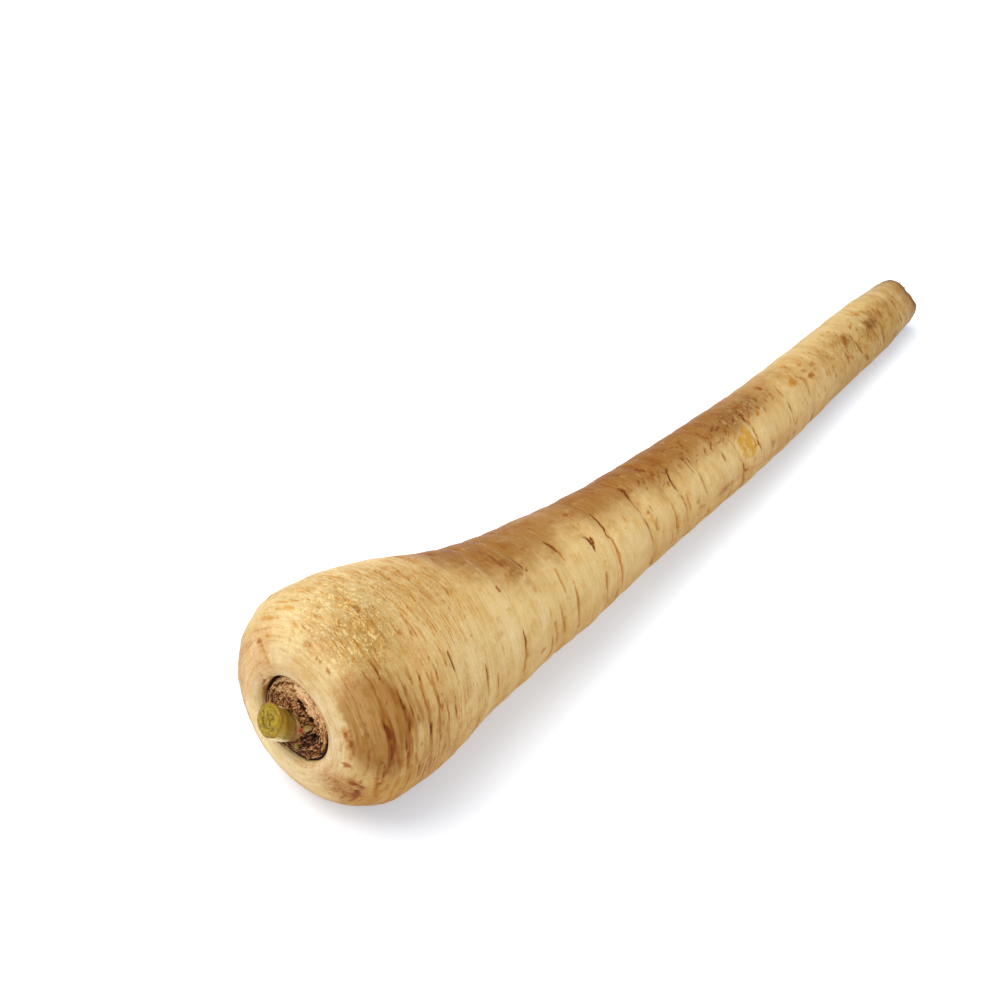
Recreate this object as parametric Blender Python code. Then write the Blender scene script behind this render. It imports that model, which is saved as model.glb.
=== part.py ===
"""A parsnip lying on its side, as lifted and trimmed.

Three solids, each one closed mesh:
  root        the tapered taproot: the lip and hollow of its head, ringed creases, a broken tip
  crown       the corky stump of old leaf bases, in torn rings, sunk in the hollow
  leaf_stalk  the green stub of the last leaf stalk with its side buds, bending up out of the crown

The root runs along +X from its head. A place on it is a station (mm along the axis from the crest of
the lip) and an angle (degrees round the axis: 0 faces -Y, 90 is the top, 180 faces +Y).
It rests on two flats, under the shoulder and near the tip.
"""
import math
import random

import bmesh
import bpy
import numpy as np
from mathutils import Matrix, Vector

MM = 0.001

# Root
LENGTH = 250.0
SHOULDER = 15.0                 # station of the widest ring
CREST = 0.9                     # station of the crest of the lip, midway round
SKIN = [(CREST, 13.4), (2, 16.3), (5, 21.6), (9, 25.2), (SHOULDER, 27.0), (22, 26.8), (30, 25.5),
        (38, 23.5), (47, 20.8), (58, 18.5), (71, 16.6), (86, 14.8), (104, 12.9), (125, 11.8), (148, 10.8),
        (175, 9.8), (203, 8.8), (230, 8.2), (LENGTH, 7.1)]
AXIS_SIDEWAYS = [(0, 0.0), (31, -2.5), (62, -6.1), (94, -7.4), (130, -6.8), (167, -5.9), (208, -2.9),
                 (LENGTH, 0.0)]
AXIS_SAG = 1.5                  # how far the middle of the axis hangs below a straight line
FLAT_DEPTH = 0.75               # how much of the round underside the flats take away
OVALNESS = 0.012                # the section's departure from a circle, as a share of its radius
SEGMENTS = 48

# Head of the root: the lip turns in to the rim of the hollow that holds the crown.
# The head is a little askew: towards LEAN_ANGLE the lip lies lower and the hollow sits off the axis.
RIM_RADIUS = 10.45
RIM_STATION = 2.7
HOLLOW_FLOOR = 7.4
LIP_STEPS = 4
HEAD_STATIONS = [1.05, 1.5, 2.3, 3.5, 5.4, 7.8, 11, 15, 19, 23, 27, 31, 35]
LEAN_ANGLE = 52.0
LEAN_SHIFT = 1.0
LEAN_DROP = 0.55
LEAN_REACH = 9.0                # past this station the head is straight again
SCAB = (4.0, -38.0, 5.0, 17.0, 1.0)   # station, angle, half length, half angle, depth of the sunken scab

# Creases that ring the root: station, middle angle, half span in degrees, depth.
CREASES = [(41, 10, 30, 0.35), (48, 15, 32, 0.35), (55.5, 30, 60, 0.40), (64, 70, 45, 0.45),
           (70, 10, 34, 0.35), (76, 67, 36, 0.40), (87, 54, 30, 0.60), (93.5, 62, 50, 0.50),
           (108, 50, 70, 0.75), (119, 104, 45, 0.35), (124, 40, 62, 0.65), (133.5, 45, 70, 0.60),
           (144, 90, 45, 0.35), (150, 32, 52, 0.55), (159.5, 44, 56, 0.60), (168, 20, 40, 0.30),
           (177, 44, 60, 0.60), (187, 38, 50, 0.45), (201, 60, 60, 0.35), (216, 31, 58, 0.55),
           (228, 70, 60, 0.35), (238.5, 36, 50, 0.50)]
CREASE_HALF_WIDTH = 1.5
BACK_CREASE_SPAN = 60           # the same rings deepen again on the far side, at a drawn angle
BACK_CREASE_DEPTH = 0.45
SWELL = 0.22                    # how far the skin swells between two creases
SWELL_LIMIT = 11.0              # a longer stretch than this has no swelling of its own
FILL_PITCH = 6.0                # longest stretch of skin without a ring of points

# Broken tip
TIP_ROUNDING = 0.9
TIP_HOLLOW = 0.5

# Crown
GAP = 0.3
CROWN_RADIUS = RIM_RADIUS - GAP
CROWN_BASE = HOLLOW_FLOOR - GAP
CROWN_EDGE = 3.7                # station of its top surface at the rim
CROWN_FUNNEL = 0.9              # how much deeper the middle lies
RIDGE_COUNT = 5
RIDGE_HEIGHT = 1.1
RIDGE_RAGGEDNESS = 0.5
RIDGE_DRIFT = 0.35              # how far a ring wanders off its circle
CROWN_SEGMENTS = 48
CORE_RADIUS = 2.4               # the rings stop here, round the growing point
COLLAR = (2.9, -4.0, 4.6, 1.9, 1.5)   # across, up, radius, half width and height of the stalk's sheath
PIT = (4.6, 0.0, 2.8, 0.9)      # radius, angle, half width and depth of the torn pit beside the stalk

# Leaf stalk: its middle line in (station, across towards +Y, up) from the root's axis.
STALK_PATH = [(4.9, 2.0, -3.8), (2.0, 2.9, -4.6), (-1.4, 4.1, -0.5)]
STALK_RADII = (3.6, 3.75)
STALK_FLATTENING = 0.03
CUT_FACING = (-0.88, 0.03, 0.47)    # the stub is cut askew
STALK_STEPS = 7
STALK_SEGMENTS = 28
CUT_DOME = 0.25
# Buds: inner end, outer end (station, across, up) and radius.
BUDS = {"side_bud": ((3.6, 0.3, -4.0), (3.4, -3.4, -0.9), 0.75),
        "low_bud": ((3.5, 1.3, -6.2), (3.3, 0.2, -7.6), 0.6)}
BUD_SEGMENTS = 10
BUD_RINGS = 6

COLOURS = {"root": (0.66, 0.44, 0.20), "crown": (0.20, 0.09, 0.04), "leaf_stalk": (0.32, 0.25, 0.05)}
ROUGHNESS = {"root": 0.55, "crown": 0.9, "leaf_stalk": 0.45}
SHARP_ANGLE = math.radians(50)


def clear_scene():
    for obj in list(bpy.data.objects):
        bpy.data.objects.remove(obj)


def smooth(points, x):
    """Value at x of a smooth curve through the points that never overshoots them."""
    xs = np.array([p[0] for p in points], float)
    ys = np.array([p[1] for p in points], float)
    steps = np.diff(xs)
    slopes = np.diff(ys) / steps
    tangents = np.zeros(len(xs))
    tangents[0] = slopes[0]
    tangents[-1] = slopes[-1]
    for i in range(1, len(xs) - 1):
        if slopes[i - 1] * slopes[i] > 0:
            before = 2 * steps[i] + steps[i - 1]
            after = steps[i] + 2 * steps[i - 1]
            tangents[i] = (before + after) / (before / slopes[i - 1] + after / slopes[i])
    i = int(np.clip(np.searchsorted(xs, x) - 1, 0, len(xs) - 2))
    t = (x - xs[i]) / steps[i]
    return float((1 + 2 * t) * (1 - t) ** 2 * ys[i] + t * (1 - t) ** 2 * steps[i] * tangents[i]
                 + t * t * (3 - 2 * t) * ys[i + 1] + t * t * (t - 1) * steps[i] * tangents[i + 1])


def bump(distance, half_width):
    """1 in the middle, falling smoothly to 0 at half_width."""
    share = min(abs(distance) / half_width, 1.0)
    return 0.5 + 0.5 * math.cos(math.pi * share)


def turn(angle, middle):
    """Signed difference of two angles in degrees, between -180 and 180."""
    return (angle - middle + 180.0) % 360.0 - 180.0


# The root's axis ---------------------------------------------------------------------------------

def skin_radius(station):
    """Radius of the plain turned skin. Reading the outline against the root of the station rounds the lip."""
    outline = [(math.sqrt(s - CREST), r) for s, r in SKIN]
    return smooth(outline, math.sqrt(max(station - CREST, 0.0)))


def axis_point(station):
    high = skin_radius(SHOULDER)
    low = skin_radius(LENGTH)
    share = (station - SHOULDER) / (LENGTH - SHOULDER)
    sag = AXIS_SAG * 4 * max(share, 0.0) * (1 - share)
    height = high + (low - high) * share - sag - FLAT_DEPTH
    return Vector((station, smooth(AXIS_SIDEWAYS, max(station, 0.0)), height))


def axis_frame(station):
    """The axis point, with the forward, front and up directions of the section there."""
    step = 1.0
    near = min(max(station, 0.0), LENGTH - step)
    forward = (axis_point(near + step) - axis_point(near)).normalized()
    front = forward.cross(Vector((0, 0, 1))).normalized()
    return axis_point(station), forward, front, front.cross(forward)


def on_root(station, across, up):
    """A point given from the axis: across points away from the front."""
    point, _, front, upward = axis_frame(station)
    return point - front * across + upward * up


def head_lean(station):
    """1 at the crest of the lip, fading to 0 where the head is straight."""
    share = (station - CREST) / (LEAN_REACH - CREST)
    return (1 - min(max(share, 0.0), 1.0)) ** 2


# Root --------------------------------------------------------------------------------------------

def back_creases():
    draw = random.Random(7)
    return [(station, draw.uniform(150, 300), BACK_CREASE_SPAN, BACK_CREASE_DEPTH * draw.uniform(0.5, 1.0))
            for station, _, _, _ in CREASES]


def skin_relief(station, angle, creases):
    """How far the skin stands off the plain turned form."""
    wave = math.radians(angle)
    relief = OVALNESS * skin_radius(station) * math.sin(2 * wave + station / 45.0)
    for middle, crease_angle, span, depth in creases:
        along = bump(station - middle, CREASE_HALF_WIDTH)
        relief -= depth * along * bump(turn(angle, crease_angle), span)
    rings = [crease[0] for crease in CREASES]
    for start, end in zip(rings, rings[1:]):
        if start < station < end:
            length = min(end - start, SWELL_LIMIT)
            relief += SWELL * (length / SWELL_LIMIT) * math.sin(math.pi * (station - start) / (end - start))
    middle, scab_angle, half_length, half_angle, depth = SCAB
    relief -= depth * bump(station - middle, half_length) * bump(turn(angle, scab_angle), half_angle)
    return relief


def ring_stations():
    """Stations of the skin's rings: three across each crease, and more where a stretch is long."""
    stations = list(HEAD_STATIONS)
    for middle, _, _, _ in CREASES:
        stations += [middle - CREASE_HALF_WIDTH, middle, middle + CREASE_HALF_WIDTH]
    stations.append(LENGTH - TIP_ROUNDING)
    stations.sort()
    filled = [stations[0]]
    for station in stations[1:]:
        stretch = station - filled[-1]
        parts = max(1, math.ceil(stretch / FILL_PITCH))
        start = filled[-1]
        filled += [start + stretch * (i + 1) / parts for i in range(parts)]
    return filled


def ring_point(station, angle, radius, lean):
    """A point round the axis, or with lean round the middle of the askew head."""
    point, forward, front, up = axis_frame(station)
    wave = math.radians(angle)
    askew = math.radians(LEAN_ANGLE)
    middle = point + lean * LEAN_SHIFT * (math.cos(askew) * front + math.sin(askew) * up)
    drop = lean * LEAN_DROP * math.cos(wave - askew) * radius / skin_radius(CREST)
    return middle + radius * (math.cos(wave) * front + math.sin(wave) * up) + drop * forward


def ring(mesh, station, radius_at, segments, lean):
    """A closed ring of vertices, none of them below the surface that the root lies on."""
    verts = []
    for k in range(segments):
        angle = 360.0 * k / segments
        place = ring_point(station, angle, radius_at(angle), lean)
        place.z = max(place.z, 0.0)
        verts.append(mesh.verts.new(place))
    return verts


def bridge(mesh, first, second):
    count = len(first)
    for k in range(count):
        after = (k + 1) % count
        mesh.faces.new((first[k], first[after], second[after], second[k]))


def fan(mesh, rim, centre):
    count = len(rim)
    for k in range(count):
        mesh.faces.new((rim[(k + 1) % count], rim[k], centre))


def tip_radius(angle):
    """The broken edge of the tip is not quite round."""
    wave = math.radians(angle)
    return skin_radius(LENGTH) * (1 + 0.04 * math.sin(2 * wave + 0.6) + 0.03 * math.sin(5 * wave))


def root_mesh():
    mesh = bmesh.new()
    creases = CREASES + back_creases()
    rings = [ring(mesh, HOLLOW_FLOOR, lambda angle: RIM_RADIUS, SEGMENTS, 1.0)]
    crest_radius = skin_radius(CREST)
    for step in range(LIP_STEPS + 1):
        inward = 0.5 * math.pi * (1 - step / LIP_STEPS)
        station = CREST + (RIM_STATION - CREST) * (1 - math.cos(inward))
        radius = crest_radius - (crest_radius - RIM_RADIUS) * math.sin(inward)
        rings.append(ring(mesh, station, lambda angle: radius, SEGMENTS, 1.0))
    for station in ring_stations():
        plain = skin_radius(station)
        lean = head_lean(station)
        rings.append(ring(mesh, station, lambda angle: plain + skin_relief(station, angle, creases),
                          SEGMENTS, lean))
    rings.append(ring(mesh, LENGTH, lambda angle: tip_radius(angle) - TIP_ROUNDING, SEGMENTS, 0.0))
    rings.append(ring(mesh, LENGTH - TIP_HOLLOW, lambda angle: 0.55 * tip_radius(angle), SEGMENTS, 0.0))
    for first, second in zip(rings, rings[1:]):
        bridge(mesh, first, second)
    fan(mesh, rings[0], mesh.verts.new(ring_point(HOLLOW_FLOOR, 0.0, 0.0, 1.0)))
    fan(mesh, rings[-1][::-1], mesh.verts.new(axis_point(LENGTH - 0.5 * TIP_HOLLOW)))
    return mesh


# Crown -------------------------------------------------------------------------------------------

def ridge_outline():
    """(radius, height) of the torn rings from the rim inwards: a slope up, then a steeper fall."""
    pitch = (CROWN_RADIUS - CORE_RADIUS) / RIDGE_COUNT
    outline = []
    for i in range(RIDGE_COUNT):
        outer = CROWN_RADIUS - i * pitch
        outline += [(outer, 0.0), (outer - 0.4 * pitch, 0.7 * RIDGE_HEIGHT), (outer - 0.7 * pitch, RIDGE_HEIGHT)]
    return outline + [(CORE_RADIUS, 0.0), (0.5 * CORE_RADIUS, 0.4 * RIDGE_HEIGHT)]


def crown_place(radius, ridge, angle):
    """A point of the crown's top, over a shallow funnel with a pit and the stalk's sheath."""
    wave = math.radians(angle)
    inside = 1 - (radius / CROWN_RADIUS) ** 2
    radius += inside * (RIDGE_DRIFT * math.sin(2 * wave + 1.0) + 0.4 * RIDGE_DRIFT * math.sin(5 * wave))
    height = ridge * (1 - RIDGE_RAGGEDNESS * (0.5 + 0.5 * math.sin(7 * wave + 4 * radius)))
    front = radius * math.cos(wave)
    up = radius * math.sin(wave)
    pit_radius, pit_angle, pit_half_width, depth = PIT
    pit_wave = math.radians(pit_angle)
    pit_distance = math.hypot(front - pit_radius * math.cos(pit_wave), up - pit_radius * math.sin(pit_wave))
    across, rise, collar_radius, collar_half_width, collar_height = COLLAR
    collar_distance = math.hypot(front + across, up - rise) - collar_radius
    height = max(height, collar_height * bump(collar_distance, collar_half_width))
    funnel = CROWN_FUNNEL * (1 - radius / CROWN_RADIUS)
    station = CROWN_EDGE + funnel + depth * bump(pit_distance, pit_half_width) - height
    return ring_point(station, angle, radius, 1.0)


def crown_mesh():
    mesh = bmesh.new()
    rings = [ring(mesh, CROWN_BASE, lambda angle: CROWN_RADIUS, CROWN_SEGMENTS, 1.0)]
    for radius, ridge in ridge_outline():
        angles = [360.0 * k / CROWN_SEGMENTS for k in range(CROWN_SEGMENTS)]
        rings.append([mesh.verts.new(crown_place(radius, ridge, angle)) for angle in angles])
    for first, second in zip(rings, rings[1:]):
        bridge(mesh, first, second)
    fan(mesh, rings[0], mesh.verts.new(ring_point(CROWN_BASE, 0.0, 0.0, 1.0)))
    fan(mesh, rings[-1][::-1], mesh.verts.new(crown_place(0.0, 0.5 * RIDGE_HEIGHT, 0.0)))
    return mesh


# Leaf stalk --------------------------------------------------------------------------------------

def stalk_point(share):
    start, middle, end = [on_root(*place) for place in STALK_PATH]
    return (1 - share) ** 2 * start + 2 * share * (1 - share) * middle + share ** 2 * end


def stalk_frame(share):
    """Ahead, side and up directions of the stalk's section."""
    ahead = (stalk_point(share + 0.01) - stalk_point(share - 0.01)).normalized()
    side = ahead.cross(Vector((0, 0, 1))).normalized()
    return ahead, side, side.cross(ahead)


def cut_facing():
    """The direction that the cut end faces."""
    _, forward, front, up = axis_frame(0.0)
    along, across, rise = CUT_FACING
    return (along * forward - across * front + rise * up).normalized()


def stalk_mesh(clearance):
    """The swept stub. With a clearance it is that much thicker and starts that much deeper."""
    mesh = bmesh.new()
    rings = []
    facing = cut_facing()
    for step in range(STALK_STEPS + 1):
        share = step / STALK_STEPS
        ahead, side, up = stalk_frame(share)
        centre = stalk_point(share)
        if step == 0:
            centre -= ahead * clearance
        radius = STALK_RADII[0] + (STALK_RADII[1] - STALK_RADII[0]) * share + clearance
        verts = []
        for k in range(STALK_SEGMENTS):
            wave = 2 * math.pi * k / STALK_SEGMENTS
            oval = radius * (1 + STALK_FLATTENING * math.cos(2 * wave))
            arm = oval * (math.cos(wave) * side + math.sin(wave) * up)
            slant = ahead * (arm.dot(facing) / ahead.dot(facing)) * share ** 2
            verts.append(mesh.verts.new(centre + arm - slant))
        rings.append(verts)
    for first, second in zip(rings, rings[1:]):
        bridge(mesh, first, second)
    fan(mesh, rings[0], mesh.verts.new(stalk_point(0.0) - stalk_frame(0.0)[0] * clearance))
    fan(mesh, rings[-1][::-1], mesh.verts.new(stalk_point(1.0) + facing * CUT_DOME))
    return mesh


def bud_mesh(inner, outer, radius):
    """A round-ended bud, stretched from its inner to its outer end."""
    mesh = bmesh.new()
    start = on_root(*inner)
    end = on_root(*outer)
    bmesh.ops.create_uvsphere(mesh, u_segments=BUD_SEGMENTS, v_segments=BUD_RINGS, radius=1.0)
    half = 0.5 * (end - start).length
    spin = (end - start).to_track_quat("Z", "Y").to_matrix().to_4x4()
    stretch = Matrix.Diagonal((radius, radius, half + radius, 1.0))
    mesh.transform(Matrix.Translation((start + end) / 2) @ spin @ stretch)
    return mesh


# Objects -----------------------------------------------------------------------------------------

def make_object(name, mesh):
    """An object from a mesh built in mm, with its faces pointing out."""
    bmesh.ops.recalc_face_normals(mesh, faces=mesh.faces)
    if mesh.calc_volume(signed=True) < 0:
        bmesh.ops.reverse_faces(mesh, faces=mesh.faces)
    mesh.transform(Matrix.Scale(MM, 4))
    data = bpy.data.meshes.new(name)
    mesh.to_mesh(data)
    mesh.free()
    data.shade_smooth()
    data.set_sharp_from_angle(angle=SHARP_ANGLE)
    obj = bpy.data.objects.new(name, data)
    bpy.context.scene.collection.objects.link(obj)
    return obj


def make_guide(name, mesh):
    """A shape that only cuts another or is fused into it."""
    guide = make_object(name, mesh)
    guide.hide_render = True
    guide.display_type = "WIRE"
    return guide


def combine(obj, guide, operation):
    boolean = obj.modifiers.new(guide.name, "BOOLEAN")
    boolean.operation = operation
    boolean.solver = "EXACT"
    boolean.object = guide


def finish_material(obj):
    material = bpy.data.materials.new(obj.name)
    material.use_nodes = True
    shader = material.node_tree.nodes["Principled BSDF"]
    shader.inputs["Base Color"].default_value = (*COLOURS[obj.name], 1.0)
    shader.inputs["Roughness"].default_value = ROUGHNESS[obj.name]
    shader.inputs["Metallic"].default_value = 0.0
    obj.data.materials.append(material)


def centre_on_floor(objects, guides):
    """Hang everything on an empty that puts the origin under the middle of the parsnip's box."""
    corners = [obj.matrix_world @ Vector(corner) for obj in objects for corner in obj.bound_box]
    middle = [(min(c[i] for c in corners) + max(c[i] for c in corners)) / 2 for i in range(2)]
    holder = bpy.data.objects.new("parsnip", None)
    bpy.context.scene.collection.objects.link(holder)
    holder.location = (-middle[0], -middle[1], 0.0)
    for obj in objects + guides:
        obj.parent = holder


def build():
    clear_scene()
    root = make_object("root", root_mesh())
    crown = make_object("crown", crown_mesh())
    leaf_stalk = make_object("leaf_stalk", stalk_mesh(0.0))
    guides = [make_guide("stalk_socket", stalk_mesh(GAP))]
    combine(crown, guides[0], "DIFFERENCE")
    for name, (inner, outer, radius) in BUDS.items():
        bud = make_guide(name, bud_mesh(inner, outer, radius))
        pocket = make_guide(name + "_pocket", bud_mesh(inner, outer, radius + GAP))
        combine(leaf_stalk, bud, "UNION")
        combine(crown, pocket, "DIFFERENCE")
        guides += [bud, pocket]
    objects = [root, crown, leaf_stalk]
    for obj in objects:
        finish_material(obj)
    bpy.context.view_layer.update()
    centre_on_floor(objects, guides)


build()
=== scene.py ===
import math
import random

import bpy
import numpy as np
from mathutils import Matrix, Vector


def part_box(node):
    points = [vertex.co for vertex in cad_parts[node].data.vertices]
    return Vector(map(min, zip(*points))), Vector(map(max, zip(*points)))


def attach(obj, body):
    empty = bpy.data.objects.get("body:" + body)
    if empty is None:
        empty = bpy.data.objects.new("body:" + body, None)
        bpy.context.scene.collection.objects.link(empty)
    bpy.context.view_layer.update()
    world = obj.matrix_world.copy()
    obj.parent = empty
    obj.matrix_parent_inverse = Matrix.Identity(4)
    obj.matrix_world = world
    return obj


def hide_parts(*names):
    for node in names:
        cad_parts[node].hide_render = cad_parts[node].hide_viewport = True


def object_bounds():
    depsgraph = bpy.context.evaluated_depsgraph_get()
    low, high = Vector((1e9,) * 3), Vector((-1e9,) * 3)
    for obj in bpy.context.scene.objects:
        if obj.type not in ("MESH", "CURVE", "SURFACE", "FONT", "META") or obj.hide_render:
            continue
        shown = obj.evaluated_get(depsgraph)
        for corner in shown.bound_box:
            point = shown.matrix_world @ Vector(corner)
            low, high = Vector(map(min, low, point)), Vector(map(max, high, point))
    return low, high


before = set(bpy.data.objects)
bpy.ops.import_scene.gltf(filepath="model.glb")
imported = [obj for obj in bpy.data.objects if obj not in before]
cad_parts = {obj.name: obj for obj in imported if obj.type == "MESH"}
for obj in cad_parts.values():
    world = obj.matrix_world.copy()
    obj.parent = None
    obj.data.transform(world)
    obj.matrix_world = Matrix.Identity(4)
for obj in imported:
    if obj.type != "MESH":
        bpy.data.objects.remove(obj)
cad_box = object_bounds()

# The looks of the parsnip. Lengths are in mm until a mesh is made. A place on the root is a station (mm
# along its axis from the crest of the lip) and an angle (degrees round the axis: 0 faces -Y, 90 is the
# top, 180 faces +Y). The forms below repeat the named values of the CAD source.

MM = 0.001

# Root, as in the CAD source
LENGTH = 250.0
SHOULDER = 15.0
CREST = 0.9
SKIN = [(CREST, 13.4), (2, 16.3), (5, 21.6), (9, 25.2), (SHOULDER, 27.0), (22, 26.8), (30, 25.5),
        (38, 23.5), (47, 20.8), (58, 18.5), (71, 16.6), (86, 14.8), (104, 12.9), (125, 11.8), (148, 10.8),
        (175, 9.8), (203, 8.8), (230, 8.2), (LENGTH, 7.1)]
AXIS_SIDEWAYS = [(0, 0.0), (31, -2.5), (62, -6.1), (94, -7.4), (130, -6.8), (167, -5.9), (208, -2.9),
                 (LENGTH, 0.0)]
AXIS_SAG = 1.5
FLAT_DEPTH = 0.75
OVALNESS = 0.012
RIM_RADIUS = 10.45
RIM_STATION = 2.7
HOLLOW_FLOOR = 7.4
LEAN_ANGLE = 52.0
LEAN_SHIFT = 1.0
LEAN_DROP = 0.55
LEAN_REACH = 9.0
CREASES = [(41, 10, 30, 0.35), (48, 15, 32, 0.35), (55.5, 30, 60, 0.40), (64, 70, 45, 0.45),
           (70, 10, 34, 0.35), (76, 67, 36, 0.40), (87, 54, 30, 0.60), (93.5, 62, 50, 0.50),
           (108, 50, 70, 0.75), (119, 104, 45, 0.35), (124, 40, 62, 0.65), (133.5, 45, 70, 0.60),
           (144, 90, 45, 0.35), (150, 32, 52, 0.55), (159.5, 44, 56, 0.60), (168, 20, 40, 0.30),
           (177, 44, 60, 0.60), (187, 38, 50, 0.45), (201, 60, 60, 0.35), (216, 31, 58, 0.55),
           (228, 70, 60, 0.35), (238.5, 36, 50, 0.50)]
CREASE_HALF_WIDTH = 1.5
CREASE_SHARE = 0.75               # of a crease's depth: its broad form, under the fine marks
BACK_CREASE = (0.45, 60)          # the same crease on the far side: its most depth, and its half angle
SCAB = (4.0, -38.0, 5.0, 17.0, 1.0)
SWELL = 0.22
SWELL_LIMIT = 11.0
TIP_ROUNDING = 0.9
TIP_HOLLOW = 0.5
ROOT_LOW_CORNER = (-0.796, -28.582, 0.0)     # of the CAD root's box, in the axis's own coordinates

# Crown and stalk, as in the CAD source
GAP = 0.3
CROWN_RADIUS = RIM_RADIUS - GAP
CROWN_BASE = HOLLOW_FLOOR - GAP
CROWN_EDGE = 3.7
CROWN_FUNNEL = 0.9
RIDGE_COUNT = 5
RIDGE_HEIGHT = 1.1
RIDGE_DRIFT = 0.35
CORE_RADIUS = 2.4
COLLAR = (2.9, -4.0, 4.6, 1.9, 1.5)
STALK_PATH = [(4.9, 2.0, -3.8), (2.0, 2.9, -4.6), (-1.4, 4.1, -0.5)]
STALK_RADII = (3.6, 3.75)
STALK_FLATTENING = 0.03
CUT_FACING = (-0.88, 0.03, 0.47)
CUT_DOME = 0.25
BUDS = {"side_bud": ((3.4, 0.03, -4.02), (2.4, -5.6, 1.5), 0.68),
        "low_bud": ((3.0, 0.6, -6.94), (1.5, -2.2, -6.4), 0.62)}
BUD_NECK = 0.60                   # a bud's thinner base, as a share of its width
SHEATH_ANGLE = 38.0
SHEATH_HALF_ANGLE = 30.0


# Sums shared by all pieces ------------------------------------------------------------------------

def smooth(points, x):
    """Values at x of a smooth curve through the points that never overshoots them."""
    xs, ys = np.array(points, float).T
    steps = np.diff(xs)
    slopes = np.diff(ys) / steps
    tangents = np.zeros(len(xs))
    tangents[0] = slopes[0]
    tangents[-1] = slopes[-1]
    for i in range(1, len(xs) - 1):
        if slopes[i - 1] * slopes[i] > 0:
            before = 2 * steps[i] + steps[i - 1]
            after = steps[i] + 2 * steps[i - 1]
            tangents[i] = (before + after) / (before / slopes[i - 1] + after / slopes[i])
    x = np.asarray(x, float)
    i = np.clip(np.searchsorted(xs, x) - 1, 0, len(xs) - 2)
    t = (x - xs[i]) / steps[i]
    return ((1 + 2 * t) * (1 - t) ** 2 * ys[i] + t * (1 - t) ** 2 * steps[i] * tangents[i]
            + t * t * (3 - 2 * t) * ys[i + 1] + t * t * (t - 1) * steps[i] * tangents[i + 1])


def bump(distance, half_width):
    """1 in the middle, falling smoothly to 0 at half_width."""
    share = np.minimum(np.abs(distance) / half_width, 1.0)
    return 0.5 + 0.5 * np.cos(np.pi * share)


def step_up(x, low, high):
    """0 below low, 1 above high, smooth between."""
    t = np.clip((np.asarray(x, float) - low) / (high - low), 0.0, 1.0)
    return t * t * (3 - 2 * t)


def turn(angle, middle):
    """Signed difference of two angles in degrees, between -180 and 180."""
    return (angle - middle + 180.0) % 360.0 - 180.0


def unit(vectors):
    return vectors / np.linalg.norm(vectors, axis=-1, keepdims=True)


def lattice(i, j, k, seed):
    """A repeatable number between -1 and 1 for each whole-numbered place."""
    mixed = (i * 73856093) ^ (j * 19349663) ^ (k * 83492791) ^ (seed * 2654435761)
    mixed &= 0xFFFFFFFF
    mixed = ((mixed ^ (mixed >> 15)) * 739982445) & 0xFFFFFFFF
    mixed = ((mixed ^ (mixed >> 12)) * 695872825) & 0xFFFFFFFF
    return (mixed ^ (mixed >> 15)) / 2147483647.5 - 1.0


def noise(x, y, z, seed=0, octaves=1):
    """Smooth noise, about -1 to 1, with features about 1 wide; each octave halves width and height."""
    total = 0.0
    for octave in range(octaves):
        scale = 2.0 ** octave
        px, py, pz = np.broadcast_arrays(x * scale, y * scale, z * scale)
        ix, iy, iz = [np.floor(p).astype(np.int64) for p in (px, py, pz)]
        tx, ty, tz = [t * t * t * (t * (6 * t - 15) + 10) for t in (px - ix, py - iy, pz - iz)]
        value = 0.0
        for corner in range(8):
            cx, cy, cz = corner & 1, (corner >> 1) & 1, corner >> 2
            share = ((tx if cx else 1 - tx) * (ty if cy else 1 - ty) * (tz if cz else 1 - tz))
            value = value + share * lattice(ix + cx, iy + cy, iz + cz, seed + 101 * octave)
        total = total + value / scale
    return total


def cells(x, y, z, seed):
    """Scattered crumbs about 1 wide: nearness to a crack between two, and a number for each crumb."""
    ix, iy, iz = [np.floor(p).astype(np.int64) for p in (x, y, z)]
    nearest = np.full(np.shape(x), 9.0)
    second = nearest.copy()
    number = np.zeros(np.shape(x))
    for corner in range(27):
        jx, jy, jz = ix + corner % 3 - 1, iy + corner // 3 % 3 - 1, iz + corner // 9 - 1
        offsets = [j + 0.5 + 0.45 * lattice(jx, jy, jz, seed + k) for k, j in enumerate((jx, jy, jz))]
        away = np.sqrt((x - offsets[0]) ** 2 + (y - offsets[1]) ** 2 + (z - offsets[2]) ** 2)
        closer = away < nearest
        second = np.where(closer, nearest, np.minimum(second, away))
        number = np.where(closer, lattice(jx, jy, jz, seed + 7), number)
        nearest = np.where(closer, away, nearest)
    return 1 - np.clip((second - nearest) / 0.32, 0.0, 1.0), number


# The root's axis ----------------------------------------------------------------------------------

def skin_radius(station):
    """Radius of the plain turned skin; going by the square root of the distance rounds the lip."""
    outline = [(math.sqrt(s - CREST), r) for s, r in SKIN]
    return smooth(outline, np.sqrt(np.maximum(np.asarray(station, float) - CREST, 0.0)))


def axis_point(station):
    high = skin_radius(SHOULDER)
    low = skin_radius(LENGTH)
    share = (station - SHOULDER) / (LENGTH - SHOULDER)
    sag = AXIS_SAG * 4 * np.maximum(share, 0.0) * (1 - share)
    height = high + (low - high) * share - sag - FLAT_DEPTH
    sideways = smooth(AXIS_SIDEWAYS, np.maximum(station, 0.0))
    return np.stack(np.broadcast_arrays(station, sideways, height), axis=-1)


def axis_frame(station):
    """The axis point, with the forward, front and up directions of the section there."""
    station = np.asarray(station, float)
    near = np.clip(station, 0.0, LENGTH - 1.0)
    forward = unit(axis_point(near + 1.0) - axis_point(near))
    front = unit(np.cross(forward, np.array([0.0, 0.0, 1.0])))
    return axis_point(station), forward, front, np.cross(front, forward)


def on_root(station, across, up):
    """A point given from the axis: across points away from the front."""
    point, _, front, upward = axis_frame(station)
    return point - front * across + upward * up


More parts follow.
